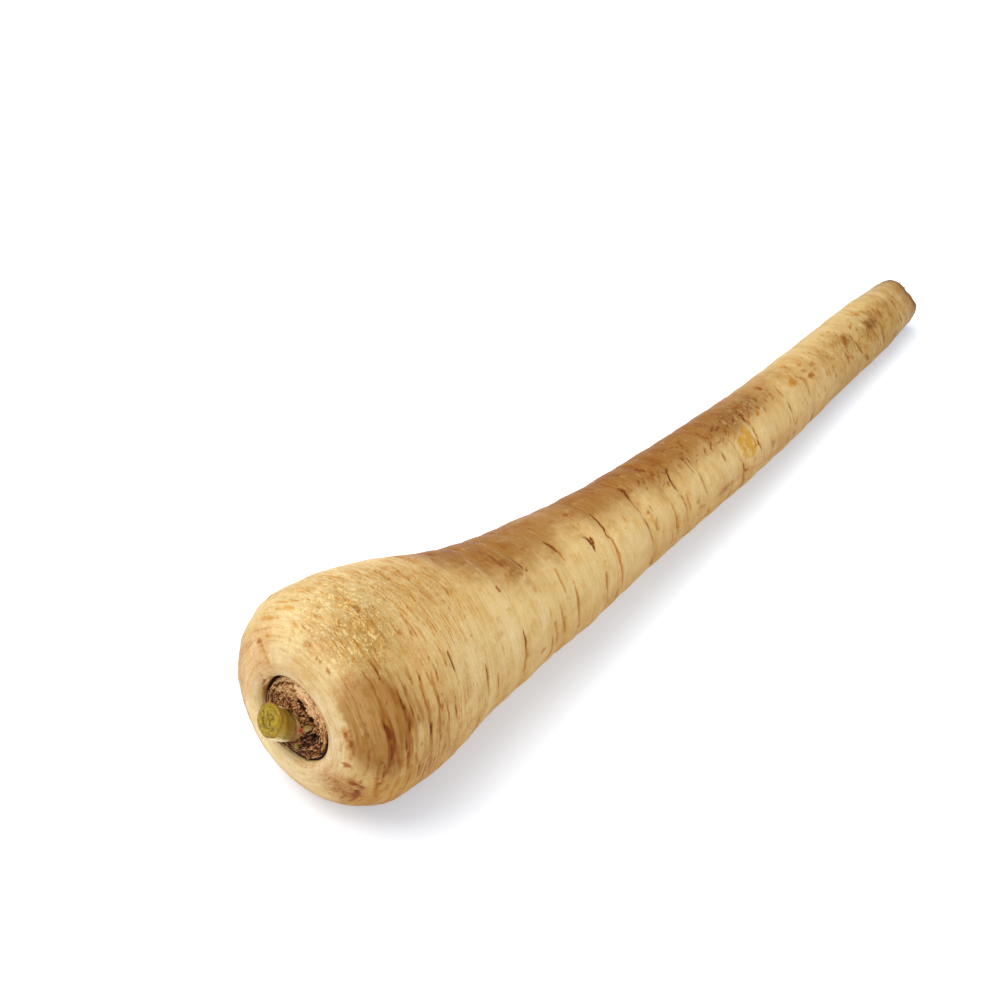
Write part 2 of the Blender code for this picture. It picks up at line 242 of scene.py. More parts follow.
def ring_point(station, angle, radius, lean):
    """Points round the axis, or with lean round the middle of the askew head."""
    point, forward, front, up = axis_frame(station)
    wave = np.radians(angle)[..., None]
    askew = math.radians(LEAN_ANGLE)
    lean = np.asarray(lean, float)[..., None]
    radius = np.asarray(radius, float)[..., None]
    middle = point + lean * LEAN_SHIFT * spoke(askew, front, up)
    drop = lean * LEAN_DROP * np.cos(wave - askew) * radius / skin_radius(CREST)
    return middle + radius * (np.cos(wave) * front + np.sin(wave) * up) + drop * forward


def spoke(wave, front, up):
    """The direction at an angle, in radians, in the plane of two others."""
    return math.cos(wave) * front + math.sin(wave) * up


def head_lean(station):
    share = np.clip((station - CREST) / (LEAN_REACH - CREST), 0.0, 1.0)
    return (1 - share) ** 2


# From the axis's coordinates to the frame that everything shares
OFFSET = np.array(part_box("root")[0]) / MM - np.array(ROOT_LOW_CORNER)


# Meshes -------------------------------------------------------------------------------------------

def add_object(name, data):
    obj = bpy.data.objects.new(name, data)
    bpy.context.scene.collection.objects.link(obj)
    return obj


def polar_grid(rows, count):
    """The row value and the angle in degrees at each point of a grid of closed rows."""
    return np.meshgrid(rows, 360.0 * np.arange(count) / count, indexing="ij")


def grid_faces(rows, columns, first=0):
    """Quads between closed rows of points, one row after another."""
    row = np.arange(rows - 1)[:, None] * columns + first
    column = np.arange(columns)[None, :]
    after = (column + 1) % columns
    corners = [row + column, row + after, row + columns + after, row + columns + column]
    return np.stack(corners, -1).reshape(-1, 4)


def fan(first, count, tip, inward=False):
    """Triangles between a closed row of points and one point; inward ones face the other way."""
    edges = [(first + k, first + (k + 1) % count) for k in range(count)]
    return [(b, a, tip) if inward else (a, b, tip) for a, b in edges]


def make_piece(name, mesh, material, nodes=(), smooth_angle=None):
    """A piece of the parsnip from points in mm along the axis's coordinates, faces and fields."""
    points, faces, fields = mesh
    data = bpy.data.meshes.new(name)
    data.from_pydata(((np.asarray(points) + OFFSET) * MM).tolist(), [], [list(map(int, f)) for f in faces])
    data.validate()
    data.update()
    for key, values in fields.items():
        values = np.asarray(values, np.float32)
        kind, channel = ("FLOAT_VECTOR", "vector") if values.ndim == 2 else ("FLOAT", "value")
        data.attributes.new(key, kind, "POINT").data.foreach_set(channel, values.ravel())
    data.shade_smooth()
    if smooth_angle:
        data.set_sharp_from_angle(angle=math.radians(smooth_angle))
    obj = add_object(name, data)
    data.materials.append(material)
    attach(obj, "root")
    if nodes:
        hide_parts(*nodes)


def grid_normals(points):
    """Outward normals of a grid of closed rows."""
    along = np.gradient(points, axis=0)
    around = np.roll(points, -1, axis=1) - np.roll(points, 1, axis=1)
    return unit(np.cross(along, around))


# Marks on the skin --------------------------------------------------------------------------------
CRACK, STREAK, RUST, AMBER = "crack", "streak", "rust", "amber"
BRUISE, PINK, PALE, OCHRE = "bruise", "pink", "pale", "ochre"
NET, TAN, SCAR, WEAR = "net", "tan", "scar", "wear"
KINDS = (CRACK, STREAK, RUST, AMBER, BRUISE, PINK, PALE, OCHRE, NET, TAN, SCAR, WEAR)

# Each is a kind, a half width and a depth in mm, then station and angle of each point that it follows.
MARKS = [
    # the head, beside and below the crown
    (STREAK, 0.62, 0.14, 2.5, 32, 2.2, 23, 2.5, 14, 2.5, 4, 2.5, -3),
    (RUST, 0.29, 0.05, 2.2, 22, 2.4, 14, 2.5, 8),
    (PALE, 0.6, -0.06, 1.7, 4, 1.6, -4, 1.6, -12),
    (STREAK, 0.43, 0.14, 4.9, 34, 4.9, 28, 4.9, 20, 4.9, 14, 4.9, 8, 4.5, 0),
    (RUST, 0.29, 0.08, 4.9, 29, 5.0, 26),
    (RUST, 0.29, 0.08, 4.9, 13, 4.9, 7),
    (PALE, 0.35, -0.06, 4.1, 33, 4.2, 27, 4.3, 21),
    (STREAK, 0.81, 0.18, 8.0, 29, 8.0, 25, 8.5, 19, 8.5, 15, 8.5, 8, 8.0, 0, 7.5, -9),
    (RUST, 0.48, 0.10, 7.9, 27, 8.1, 24, 8.5, 19, 8.6, 15),
    (RUST, 0.26, 0.05, 8.6, 13, 8.4, 5, 8.2, -1),
    (RUST, 0.26, 0.05, 6.6, 5, 7.1, -2),
    (STREAK, 0.81, 0.15, 12.7, 39, 12.7, 32, 13.3, 26, 13.3, 21, 12.2, 15, 12.2, 9, 12.2, 2, 12.2, -7),
    (RUST, 0.43, 0.10, 12.5, 35, 12.9, 31, 13.3, 27),
    (RUST, 0.29, 0.06, 13.2, 22, 12.7, 17),
    (RUST, 0.26, 0.06, 10.5, 37, 9.6, 34),
    (STREAK, 0.50, 0.10, 16.3, 46, 16.3, 41, 16.6, 36),
    (RUST, 0.26, 0.08, 19.0, 40, 19.0, 37),
    (STREAK, 0.50, 0.12, 19.0, 42, 19.0, 36, 18.3, 29, 18.1, 22),
    (STREAK, 0.43, 0.10, 16.3, 35, 16.3, 28, 16.6, 18),
    (STREAK, 0.62, 0.12, 19.0, 27, 18.3, 18, 18.3, 13, 18.3, 2, 19.0, -8, 19.6, -20),
    (CRACK, 0.42, 0.22, 18.4, 16, 18.3, 13, 18.3, 8),
    (STREAK, 0.56, 0.10, 22.4, 38, 21.7, 30, 21.7, 21, 21.0, 13, 21.0, 2, 21.7, -9),
    (RUST, 0.26, 0.10, 21.9, 26, 21.7, 18),
    (STREAK, 0.34, 0.10, 29.2, 42, 29.2, 33, 29.2, 24, 29.2, 16, 29.2, 5, 29.2, -4),
    (CRACK, 0.34, 0.22, 29.1, 42, 29.2, 37, 29.3, 31),
    (STREAK, 0.37, 0.10, 26.9, 20, 26.9, 11, 27.6, 6, 27.6, 0),
    (RUST, 0.26, 0.05, 26.9, 16, 27.0, 10),
    (STREAK, 0.32, 0.10, 30.5, 11, 31.5, 2, 33.0, -9),
    (STREAK, 0.32, 0.10, 33.0, 6, 34.0, -2, 35.0, -12),
    (STREAK, 0.50, 0.08, 13.3, 4, 15.1, -6, 16.3, -18),
    (STREAK, 0.32, 0.06, 16.3, 5, 16.3, -3),
    (STREAK, 0.43, 0.08, 24.4, 30, 24.2, 20, 23.9, 8, 24.4, -6),
    (RUST, 0.26, 0.08, 11.0, 57, 11.0, 51, 10.5, 45),
    (BRUISE, 0.56, 0.10, 4.6, -40, 3.6, -46, 2.6, -50),
    # the head's upper side: scars by the rim, then the wavy lines over the shoulder
    (RUST, 0.26, 0.10, 3.2, 139, 3.6, 136, 3.4, 133),
    (AMBER, 0.45, 0.18, 3.3, 134, 2.5, 131, 1.6, 128, 1.2, 124),
    (PALE, 0.7, -0.07, 3.0, 128, 2.2, 124, 1.2, 119),
    (AMBER, 0.38, 0.08, 3.5, 133, 3.8, 124, 4.2, 118),
    (BRUISE, 0.42, 0.12, 4.5, 91, 4.5, 87, 4.9, 83),
    (RUST, 0.26, 0.12, 3.8, 80, 3.8, 74, 3.8, 69, 3.8, 62),
    (AMBER, 0.45, 0.12, 12.9, 113, 13.9, 108),
    (AMBER, 0.30, 0.10, 10.8, 117, 12.2, 111),
    (AMBER, 0.28, 0.10, 9.5, 126, 10.0, 114, 11.6, 102),
    (AMBER, 0.52, 0.14, 8.0, 122, 8.5, 115, 8.5, 107),
    (AMBER, 0.38, 0.12, 6.6, 138, 6.6, 129, 6.2, 121, 6.6, 110),
    (AMBER, 0.34, 0.12, 17.0, 116, 16.3, 105, 19.6, 98),
    (AMBER, 0.52, 0.14, 18.0, 107, 19.1, 100),
    (AMBER, 0.38, 0.12, 21.0, 121, 21.0, 109, 21.7, 100, 22.6, 94),
    (AMBER, 0.30, 0.12, 25.0, 118, 25.4, 108, 26.4, 98, 27.6, 90),
    (AMBER, 0.30, 0.10, 14.2, 121, 14.6, 110, 14.4, 98),
    (AMBER, 0.45, 0.12, 15.1, 91, 15.1, 87, 15.1, 84),
    (AMBER, 0.30, 0.10, 35.5, 104, 37.5, 93, 38.5, 80),
    (AMBER, 0.30, 0.10, 33.5, 94, 36.5, 81, 37.5, 70),
    (AMBER, 0.30, 0.10, 29.2, 95, 30.5, 85, 33.0, 75, 34.5, 65),
    (AMBER, 0.30, 0.10, 24.6, 92, 26.9, 81, 28.4, 71),
    (RUST, 0.26, 0.12, 23.0, 82, 23.1, 77),
    (RUST, 0.26, 0.12, 19.0, 79, 19.0, 75),
    (BRUISE, 1.47, 0.45, 15.2, 84, 15.4, 80, 14.9, 78),
    (AMBER, 0.98, 0.10, 15.4, 72, 15.7, 69),
    # the body, head end to tip
    (STREAK, 0.39, 0.12, 40.9, 24, 41.1, 14, 41.0, 6, 41.3, -2),
    (CRACK, 0.31, 0.25, 40.9, 22, 41.1, 14, 41.0, 8),
    (STREAK, 0.56, 0.20, 44.6, 14, 44.8, 2, 45.2, -8),
    (STREAK, 0.35, 0.15, 48.3, 31, 48.6, 18, 48.7, 2),
    (CRACK, 0.34, 0.28, 55.3, 27, 55.6, 20, 55.4, 11),
    (STREAK, 0.56, 0.25, 55.6, 16, 55.7, 8, 55.3, 0, 55.0, -9),
    (PALE, 0.35, -0.06, 53.5, 101, 53.0, 86, 53.0, 72, 53.0, 58),
    (RUST, 0.36, 0.16, 53.8, 63, 53.9, 60, 53.7, 57),
    (STREAK, 0.63, 0.10, 58.6, 97, 59.6, 87, 59.6, 74),
    (PALE, 0.3, -0.06, 61.2, 98, 62.8, 88, 63.2, 76, 63.6, 66),
    (CRACK, 0.24, 0.20, 63.1, 89, 63.6, 75, 64.6, 61),
    (PINK, 1.0, 0.10, 63.4, 60, 62.8, 54, 63.2, 44),
    (STREAK, 0.49, 0.22, 66.0, 17, 66.3, 8, 66.4, -8),
    (STREAK, 0.63, 0.25, 69.3, 26, 69.6, 14, 70.2, 4, 70.6, -8),
    (BRUISE, 3.0, 0.0, 60.6, 80, 61.1, 70, 62.1, 60),
    (CRACK, 0.31, 0.22, 75.6, 80, 76.2, 72, 76.6, 64),
    (STREAK, 0.42, 0.12, 75.9, 76, 76.6, 64, 77.0, 52),
    (STREAK, 0.35, 0.15, 88.2, 97, 88.0, 88, 88.3, 80, 87.9, 73),
    (CRACK, 0.37, 0.55, 86.4, 64, 87.2, 58, 87.4, 52, 86.9, 46),
    (CRACK, 0.29, 0.35, 87.7, 60, 88.0, 56, 87.8, 52),
    (CRACK, 0.29, 0.30, 94.1, 82, 94.1, 72, 93.6, 60, 93.1, 53, 93.6, 45),
    (STREAK, 0.35, 0.20, 93.6, 46, 93.6, 34, 93.8, 24),
    (STREAK, 0.70, 0.35, 88.4, 2, 88.0, -8, 88.6, -16),
    (STREAK, 0.56, 0.30, 92.2, -2, 92.0, -12, 92.6, -22),
    (CRACK, 0.32, 0.40, 108.2, 91, 108.7, 82, 107.7, 69),
    (STREAK, 0.35, 0.30, 108.0, 76, 107.5, 62, 107.2, 50, 107.2, 42),
    (CRACK, 0.31, 0.40, 107.2, 43, 107.6, 34, 107.7, 24),
    (STREAK, 0.35, 0.20, 107.7, 28, 107.9, 12),
    (AMBER, 0.9, 0.15, 110.2, 44, 109.8, 36, 110.2, 30),
    (STREAK, 0.42, 0.10, 110.6, 36, 110.2, 26, 110.6, 18),
    (STREAK, 0.35, 0.18, 112.7, 123, 113.2, 109, 112.7, 98),
    (STREAK, 0.35, 0.18, 118.7, 117, 119.2, 106, 118.2, 92),
    (CRACK, 0.29, 0.35, 124.7, 79, 123.7, 68, 122.7, 55, 123.2, 42),
    (CRACK, 0.39, 0.45, 123.2, 38, 123.4, 30, 123.7, 20),
    (STREAK, 0.42, 0.25, 123.2, 44, 123.7, 20, 123.7, 2),
    (STREAK, 0.35, 0.20, 129.7, 101, 133.7, 98, 135.2, 84, 134.7, 73),
    (CRACK, 0.27, 0.35, 133.2, 73, 132.7, 62, 132.7, 52),
    (CRACK, 0.36, 0.40, 132.6, 47, 132.8, 40, 132.7, 32),
    (STREAK, 0.42, 0.25, 132.7, 36, 132.9, 22, 133.2, 11),
    (PALE, 0.35, -0.06, 131.9, 50, 132.0, 42, 131.9, 36),
    (STREAK, 0.32, 0.18, 143.7, 99, 143.2, 86, 144.2, 70),
    (CRACK, 0.27, 0.35, 149.7, 58, 149.7, 48, 149.7, 36),
    (CRACK, 0.34, 0.40, 149.7, 30, 150.0, 20, 150.3, 6),
    (RUST, 0.48, 0.10, 150.2, 8, 151.0, 5, 152.0, 6),
    (STREAK, 0.28, 0.18, 152.3, 114, 152.8, 105, 152.3, 88, 152.8, 77, 152.8, 66),
    (CRACK, 0.34, 0.40, 159.8, 82, 158.8, 69, 159.3, 56),
    (CRACK, 0.26, 0.30, 159.3, 52, 159.3, 40, 158.8, 28, 159.3, 13),
    (PALE, 0.5, -0.07, 157.9, 50, 158.2, 40, 157.9, 32),
    (STREAK, 0.32, 0.15, 166.8, 124, 167.3, 108, 167.3, 93, 167.3, 83),
    (STREAK, 0.63, 0.25, 177.3, 84, 176.3, 70, 175.8, 56),
    (CRACK, 0.32, 0.30, 175.8, 48, 175.8, 38, 176.0, 28),
    (STREAK, 0.42, 0.25, 175.8, 34, 175.8, 22, 177.3, 5),
    (STREAK, 0.49, 0.20, 186.8, 66, 186.8, 51, 186.3, 36, 186.8, 16),
    (RUST, 0.32, 0.15, 186.6, 44, 186.3, 34),
    (STREAK, 0.35, 0.15, 199.4, 76, 200.9, 64, 201.9, 52),
    (STREAK, 0.32, 0.15, 200.9, 49, 199.9, 37, 200.4, 22),
    (STREAK, 0.70, 0.20, 214.9, 66, 214.9, 58, 214.9, 50),
    (CRACK, 0.36, 0.30, 214.9, 56, 214.9, 44, 214.9, 32, 216.4, 15),
    (RUST, 0.64, 0.15, 216.2, 16, 218.0, 4, 218.9, -4),
    (STREAK, 0.35, 0.10, 227.4, 56, 228.4, 44, 229.4, 30),
    (STREAK, 0.35, 0.10, 223.9, 44, 224.9, 27, 225.4, 11),
    (CRACK, 0.31, 0.30, 238.9, 64, 238.4, 47, 238.4, 31, 238.9, 12),
    (STREAK, 0.63, 0.10, 239.6, 66, 238.8, 50, 238.6, 40),
    (RUST, 0.36, 0.10, 232.9, 12, 233.9, -7),
    (PALE, 0.35, -0.05, 221.9, 123, 221.4, 101, 221.9, 82),
    (AMBER, 0.35, 0.06, 222.6, 122, 222.1, 101, 222.6, 82),
    (PALE, 0.35, -0.05, 224.4, 120, 223.9, 100, 222.9, 82),
    (AMBER, 0.35, 0.06, 225.0, 120, 224.5, 100, 223.5, 82),
    (AMBER, 0.5, 0.06, 219.9, 82, 216.4, 71),
    # short marks between the rings
    (RUST, 0.32, 0.14, 144.2, 73, 141.7, 61),
    (RUST, 0.34, 0.12, 137.7, 73, 136.2, 64),
    (STREAK, 0.28, 0.12, 135.2, 62, 134.2, 56),
    (STREAK, 0.32, 0.12, 121.2, 67, 119.7, 58),
    (STREAK, 0.32, 0.12, 120.7, 70, 118.2, 62),
    (RUST, 0.34, 0.15, 120.7, 75, 120.2, 67),
    (RUST, 0.32, 0.15, 149.2, 88, 146.2, 81),
    (RUST, 0.44, 0.12, 150.8, 83, 148.2, 78),
    (RUST, 0.28, 0.12, 157.3, 101, 159.3, 97),
    (RUST, 0.30, 0.15, 160.3, 79, 158.8, 66),
    (RUST, 0.40, 0.20, 163.3, 80, 161.6, 72, 160.8, 65),
    (RUST, 0.27, 0.10, 152.3, 60, 150.8, 53),
    (STREAK, 0.32, 0.15, 159.8, 40, 159.3, 29),
    (RUST, 0.26, 0.10, 154.3, 9, 156.3, 12),
    (STREAK, 0.26, 0.10, 127.7, 7, 131.2, 9),
    (STREAK, 0.26, 0.10, 129.0, 4, 131.8, 6),
    (AMBER, 0.35, 0.10, 171.8, 93, 173.3, 90),
    (RUST, 0.28, 0.10, 217.9, 56, 218.9, 44),
    (PINK, 1.5, 0.0, 136.7, 16, 140.0, 8, 143.7, 3, 150.8, 6),
    (BRUISE, 0.8, 0.0, 137, 3, 140, 5, 143, 3),
    (PINK, 1.3, 0.0, 150.8, 6, 159.3, -8, 166.8, -13, 178, -6),
]

# Stained or torn patches: kind, strength, depth, softness of the edge, station and angle of each corner.
PATCHES = [
    (SCAR, 1.0, 0.20, 1.0, 157.4, 62, 158.0, 46, 158.3, 34, 157.3, 22, 154.6, 14, 152.4, 17, 151.4, 30,
     150.9, 42, 152.6, 54),
    (OCHRE, 1.0, 0.0, 2.2, 234.0, 78, 240.0, 70, 239.4, 58, 234.6, 56, 228.0, 72, 224.4, 82, 226.4, 90,
     231.6, 84),
    (BRUISE, 1.0, 0.12, 1.2, 222.4, 72, 226.0, 70, 227.0, 58, 224.6, 48, 222.0, 46, 221.4, 58),
    (TAN, 0.6, 0.0, 2.2, 218.6, 56, 222.6, 62, 226.4, 80, 231.4, 68, 231.0, 50, 224.4, 34),
    (RUST, 0.9, 0.10, 0.9, 211.0, 80, 213.4, 68, 212.6, 56, 210.2, 48, 209.4, 58, 210.4, 66),
    (OCHRE, 0.8, 0.0, 1.8, 204.0, 74, 209.4, 82, 214.0, 70, 212.0, 46, 206.6, 58),
    (RUST, 0.8, 0.08, 0.9, 192.8, 76, 195.2, 74, 194.8, 64, 192.6, 66),
    (PINK, 1.0, 0.0, 1.4, 4.0, 90, 7.4, 84, 8.4, 74, 6.0, 68, 4.4, 76),
    (PINK, 0.9, 0.0, 1.6, 3.4, 58, 6.4, 60, 8.2, 50, 6.4, 42, 3.6, 46),
    (PINK, 0.8, 0.0, 2.0, 1.5, -20, 6.0, -22, 8.0, -34, 4.0, -48, 0.0, -40, -0.6, -28),
    (STREAK, 0.5, 0.0, 1.8, 11.2, 42, 13.8, 40, 14.0, 30, 12.0, 26, 10.2, 32),
    (AMBER, 0.9, 0.0, 1.2, 9.2, 3, 11.4, 4, 12.2, -2, 10.0, -4),
    (RUST, 1.0, 0.10, 0.28, 4.4, -25, 5.6, -32, 6.3, -42, 6.0, -54),
    (RUST, 0.9, 0.08, 0.22, 3.2, -23, 4.0, -25, 4.4, -29, 3.7, -31, 3.2, -28),
    (BRUISE, 0.9, 0.06, 0.32, 4.8, 178, 4.9, 162, 4.1, 147, 3.4, 136),
    (RUST, 0.8, 0.06, 0.30, 4.4, 10, 4.6, 0, 4.5, -8),
    (BRUISE, 0.9, 0.06, 1.0, 163.6, 21, 165.2, 21, 166.6, 10, 165.2, 4, 163.4, 10),
]

# Round marks: kind, station, angle, half length along the root and half width round it, strength, depth.
SPOTS = [
    (BRUISE, 189.6, 70, 1.0, 0.9, 1.2, 0.10),
    (RUST, 190.0, 56, 1.7, 1.0, 1.0, 0.10),
    (BRUISE, 167.4, 62, 0.8, 0.8, 1.4, 0.20),
    (SCAR, 164.0, 62, 2.0, 1.4, 0.7, 0.05),
    (AMBER, 182.4, 66, 2.6, 1.3, 1.0, 0.05),
    (AMBER, 190.6, 82, 1.6, 0.9, 0.9, 0.05),
    (STREAK, 88.1, 94, 1.2, 0.9, 1.2, 0.08),
    (BRUISE, 53.5, 45, 0.5, 0.5, 0.8, 0.05),
    (BRUISE, 45.5, 69, 0.5, 0.5, 0.8, 0.05),
    (STREAK, 61.1, 0, 1.2, 1.0, 0.9, 0.05),
    (BRUISE, 128.2, 17, 0.8, 0.8, 1.0, 0.08),
    (RUST, 109.4, 46, 0.9, 0.8, 0.9, 0.06),
    (RUST, 15.1, 7, 0.7, 0.7, 0.7, 0.05),
    (RUST, 2.3, -9, 0.7, 0.9, 1.2, 0.12),
    (RUST, 6.2, -12, 0.5, 0.5, 1.0, 0.06),
    (BRUISE, 3.8, -24, 1.2, 1.3, 1.3, 0.12),
    (RUST, 4.9, -25, 0.8, 0.8, 1.0, 0.05),
    (BRUISE, 4.9, -34, 0.8, 1.0, 1.2, 0.08),
    (BRUISE, 2.4, -37, 0.9, 1.1, 1.1, 0.08),
    (BRUISE, -0.9, 150, 0.35, 0.4, 1.5, 0.10),
    (BRUISE, -0.2, 146, 0.35, 0.4, 1.4, 0.10),
    (BRUISE, 2.4, -54, 0.4, 0.4, 1.3, 0.10),
    (BRUISE, 3.0, -50, 0.3, 0.4, 1.3, 0.10),
    (BRUISE, 3.4, -56, 0.4, 0.3, 1.3, 0.10),
    (BRUISE, 2.0, -46, 0.3, 0.5, 1.2, 0.08),
    # the next three darken the lip's inward curve by the rim: brown skin, partly painted shade by the
    # hollow's edge
    (RUST, -2.0, 140, 0.5, 1.5, 1.0, 0.10),
    (RUST, -1.4, 152, 0.5, 1.2, 0.9, 0.10),
    (RUST, -2.2, 165, 0.5, 1.2, 0.9, 0.10),
    (BRUISE, -1.4, -22, 0.3, 0.9, 1.3, 0.08),
    (PINK, 3.0, 148, 4.0, 9.0, 0.8, 0.0),
    (PINK, 3.2, 172, 4.0, 9.0, 0.7, 0.0),
    (PINK, 21.0, 50, 3.5, 7.0, 0.6, 0.0),
    (PINK, 17.0, 20, 3.0, 5.0, 0.5, 0.0),
    (PALE, 242.0, 74, 1.0, 0.8, 1.0, -0.08),
    (PALE, 244.6, 56, 0.7, 0.7, 1.0, -0.08),
]

# Soft areas: kind, station, angle, half length in mm, half angle in degrees, strength. Areas add up.
AREAS = [
    (TAN, 5, 28, 11, 44, 1.0),
    (TAN, 7, 4, 9, 40, 0.42),
    (TAN, 12, 34, 9, 30, 0.5),
    (TAN, 20, 2, 14, 50, 0.35),
    # the next two darken the lip's inward curve by the rim at the upper left: brown skin, partly painted
    # shade by the hollow's edge
    (RUST, -2.4, 174, 1.3, 26, 0.75),
    (OCHRE, -1.6, 168, 1.8, 34, 0.6),
    (PINK, 4, -38, 7, 26, 0.85),
    (BRUISE, 3.4, -42, 5, 20, 0.6),
    (PINK, 4, 132, 6, 26, 0.6),
    (TAN, 20, -50, 24, 40, 0.35),
    (OCHRE, 13, 64, 12, 28, 0.55),
    (OCHRE, 182, 92, 18, 50, 0.5),
    (OCHRE, 28, 78, 22, 40, 0.30),
    (OCHRE, 48, 84, 24, 40, 0.30),
    (OCHRE, 215, 50, 40, 36, 0.2),
    (OCHRE, 226, 20, 30, 60, 0.50),
    (NET, 12, 70, 13, 36, 1.0),
    (NET, 15, 100, 24, 58, 0.60),
    (NET, 36, 84, 26, 44, 0.45),
    (NET, 160, 84, 18, 34, 0.9),
    (NET, 215, 68, 44, 60, 0.45),
    (NET, 12, 190, 24, 70, 0.6),
    (PINK, 168, 5, 30, 16, 0.5),
    (PINK, 22, 36, 14, 26, 0.35),
    (PINK, 110, 2, 60, 22, 0.25),
    (OCHRE, 195, 250, 40, 60, 0.5),
    (PINK, 20, 230, 16, 40, 0.5),
    (OCHRE, 20, 170, 20, 40, 0.6),
    (OCHRE, 60, 200, 30, 40, 0.5),
    (OCHRE, 110, 260, 20, 30, 0.5),
    (OCHRE, 30, 280, 25, 40, 0.6),
    (OCHRE, 150, 210, 30, 50, 0.5),
]

# Painted shade along the top of the body, orange-brown with a warm painted reflection: the angle that it
# starts at, and how dark it is, by station.
TOP_SHADE_EDGE = [(36, 112), (42, 99), (47, 84), (52, 70), (57, 60), (64, 58), (70, 62), (76, 60), (82, 74),
              (88, 74), (94, 65), (100, 66), (106, 63), (112, 66), (118, 56), (124, 60), (130, 59),
              (136, 57), (142, 59), (148, 58), (154, 55), (160, 60), (166, 62), (172, 62), (178, 84),
              (192, 106)]
TOP_SHADE_DEPTH = [(36, 0.0), (46, 0.85), (54, 1.0), (78, 0.95), (84, 0.82), (94, 1.0), (150, 1.0),
               (160, 0.85), (168, 0.70), (174, 0.45), (182, 0.25), (192, 0.0)]
TOP_SHADE_BY_ANGLE = [(60, 0.80), (90, 0.90), (112, 1.0)]
TOP_SHADE_END = (138.0, 168.0)      # the angles over which it fades at the back

# Marks drawn at random; pairs are ranges. Short ones over the top with its painted shade, the thin end and
# the head: how many, station, angle, slant and span, kinds, half width, depth, how far along the slant the
# middle lies.
SCRATCHES = [
    (64, (112, 176), (62, 104), (-2.5, 0.8), (4, 14), (RUST, STREAK, STREAK),
     (0.22, 0.42), (0.05, 0.14), 0.4),
    (70, (180, 244), (20, 112), (-2.0, 2.0), (8, 26), (AMBER, STREAK, AMBER),
     (0.20, 0.36), (0.03, 0.09), 0.3),
    (110, (6, 44), (58, 122), (-1.2, 1.2), (5, 16), (AMBER, AMBER, STREAK),
     (0.14, 0.30), (0.03, 0.12), 0.6),
    (70, (3, 40), (-40, 62), (-0.9, 0.9), (5, 22), (STREAK, STREAK, RUST),
     (0.14, 0.26), (0.04, 0.14), 0.6),
]
# Long ones: how many, station, angle, span, drift, kinds, half width, depth, jitter, which way round.
BACK_LINES = (46, (5, 46), (125, 330), (14, 46), (-1.5, 1.5), (STREAK, AMBER), (0.4, 1.0),
              (0.06, 0.16), 0.4, 1)
BODY_LINES = (70, (46, 236), (-30, 110), (10, 40), (-0.8, 0.8), (STREAK, PALE, AMBER), (0.18, 0.30),
              (-0.06, 0.12), 0.2, -1)
# Specks: how many, station, half width, kinds, angle, strength, depth.
SPECKS = [(150, (6, 246), (0.25, 0.7), (STREAK, BRUISE, AMBER, PINK), (0, 360), (0.3, 0.8), (0.0, 0.06)),
          (90, (-1.5, 6), (0.25, 0.6), (PINK, TAN, STREAK), (100, 330), (0.3, 0.7), (0.0, 0.05))]


def pairs(flat):
    return list(zip(flat[::2], flat[1::2]))


def placed_marks():
    return [(kind, half_width, depth, pairs(places)) for kind, half_width, depth, *places in MARKS]


def scratches(draw, count, stations, angles, slants, spans, kinds, widths, depths, bend):
    """Short slanting marks; bend is how far along the slant the middle point is."""
    made = []
    for _ in range(count):
        station, angle, slant, span = [draw.uniform(*ends) for ends in (stations, angles, slants, spans)]
        line = [(station + slant * along, angle - span * down)
                for along, down in ((0, 0), (bend, 0.5), (1, 1))]
        made.append((draw.choice(kinds), draw.uniform(*widths), draw.uniform(*depths), line))
    return made


def ring_lines(draw, count, stations, angles, spans, drifts, kinds, widths, depths, jitter, way):
    """Lines that ring the root, and drift along it."""
    made = []
    for _ in range(count):
        station, angle, span, drift = [draw.uniform(*ends) for ends in (stations, angles, spans, drifts)]
        line = [(station + drift * i / 3 + draw.uniform(-jitter, jitter), angle + way * span * i / 3)
                for i in range(4)]
        made.append((draw.choice(kinds), draw.uniform(*widths), draw.uniform(*depths), line))
    return made


def drawn_marks():
    """Marks of the same kinds on the sides that face away, and the small scratches that cover the root."""
    draw = random.Random(21)
    made = []
    for station, angle, _, depth in CREASES:
        start = angle + 100 + draw.uniform(-15, 15)
        while start < angle + 300:
            span = draw.uniform(18, 60)
            line = [(station + draw.uniform(-0.5, 0.5), start + span * i / 3) for i in range(4)]
            kind = CRACK if draw.random() < 0.55 else STREAK
            width = draw.uniform(0.30, 0.42) if kind == CRACK else draw.uniform(0.5, 0.9)
            made.append((kind, width, depth * draw.uniform(0.4, 0.8), line))
            start += span + draw.uniform(10, 50)
    made += ring_lines(draw, *BACK_LINES)
    for scratch in SCRATCHES:
        made += scratches(draw, *scratch)
    return made + ring_lines(draw, *BODY_LINES)


def drawn_spots():
    draw = random.Random(5)
    made = []
    for count, stations, sizes, kinds, angles, strengths, depths in SPECKS:
        for _ in range(count):
            station, size, kind = draw.uniform(*stations), draw.uniform(*sizes), draw.choice(kinds)
            made.append((kind, station, draw.uniform(*angles), size * draw.uniform(0.7, 1.3), size,
                         draw.uniform(*strengths), draw.uniform(*depths)))
    return made


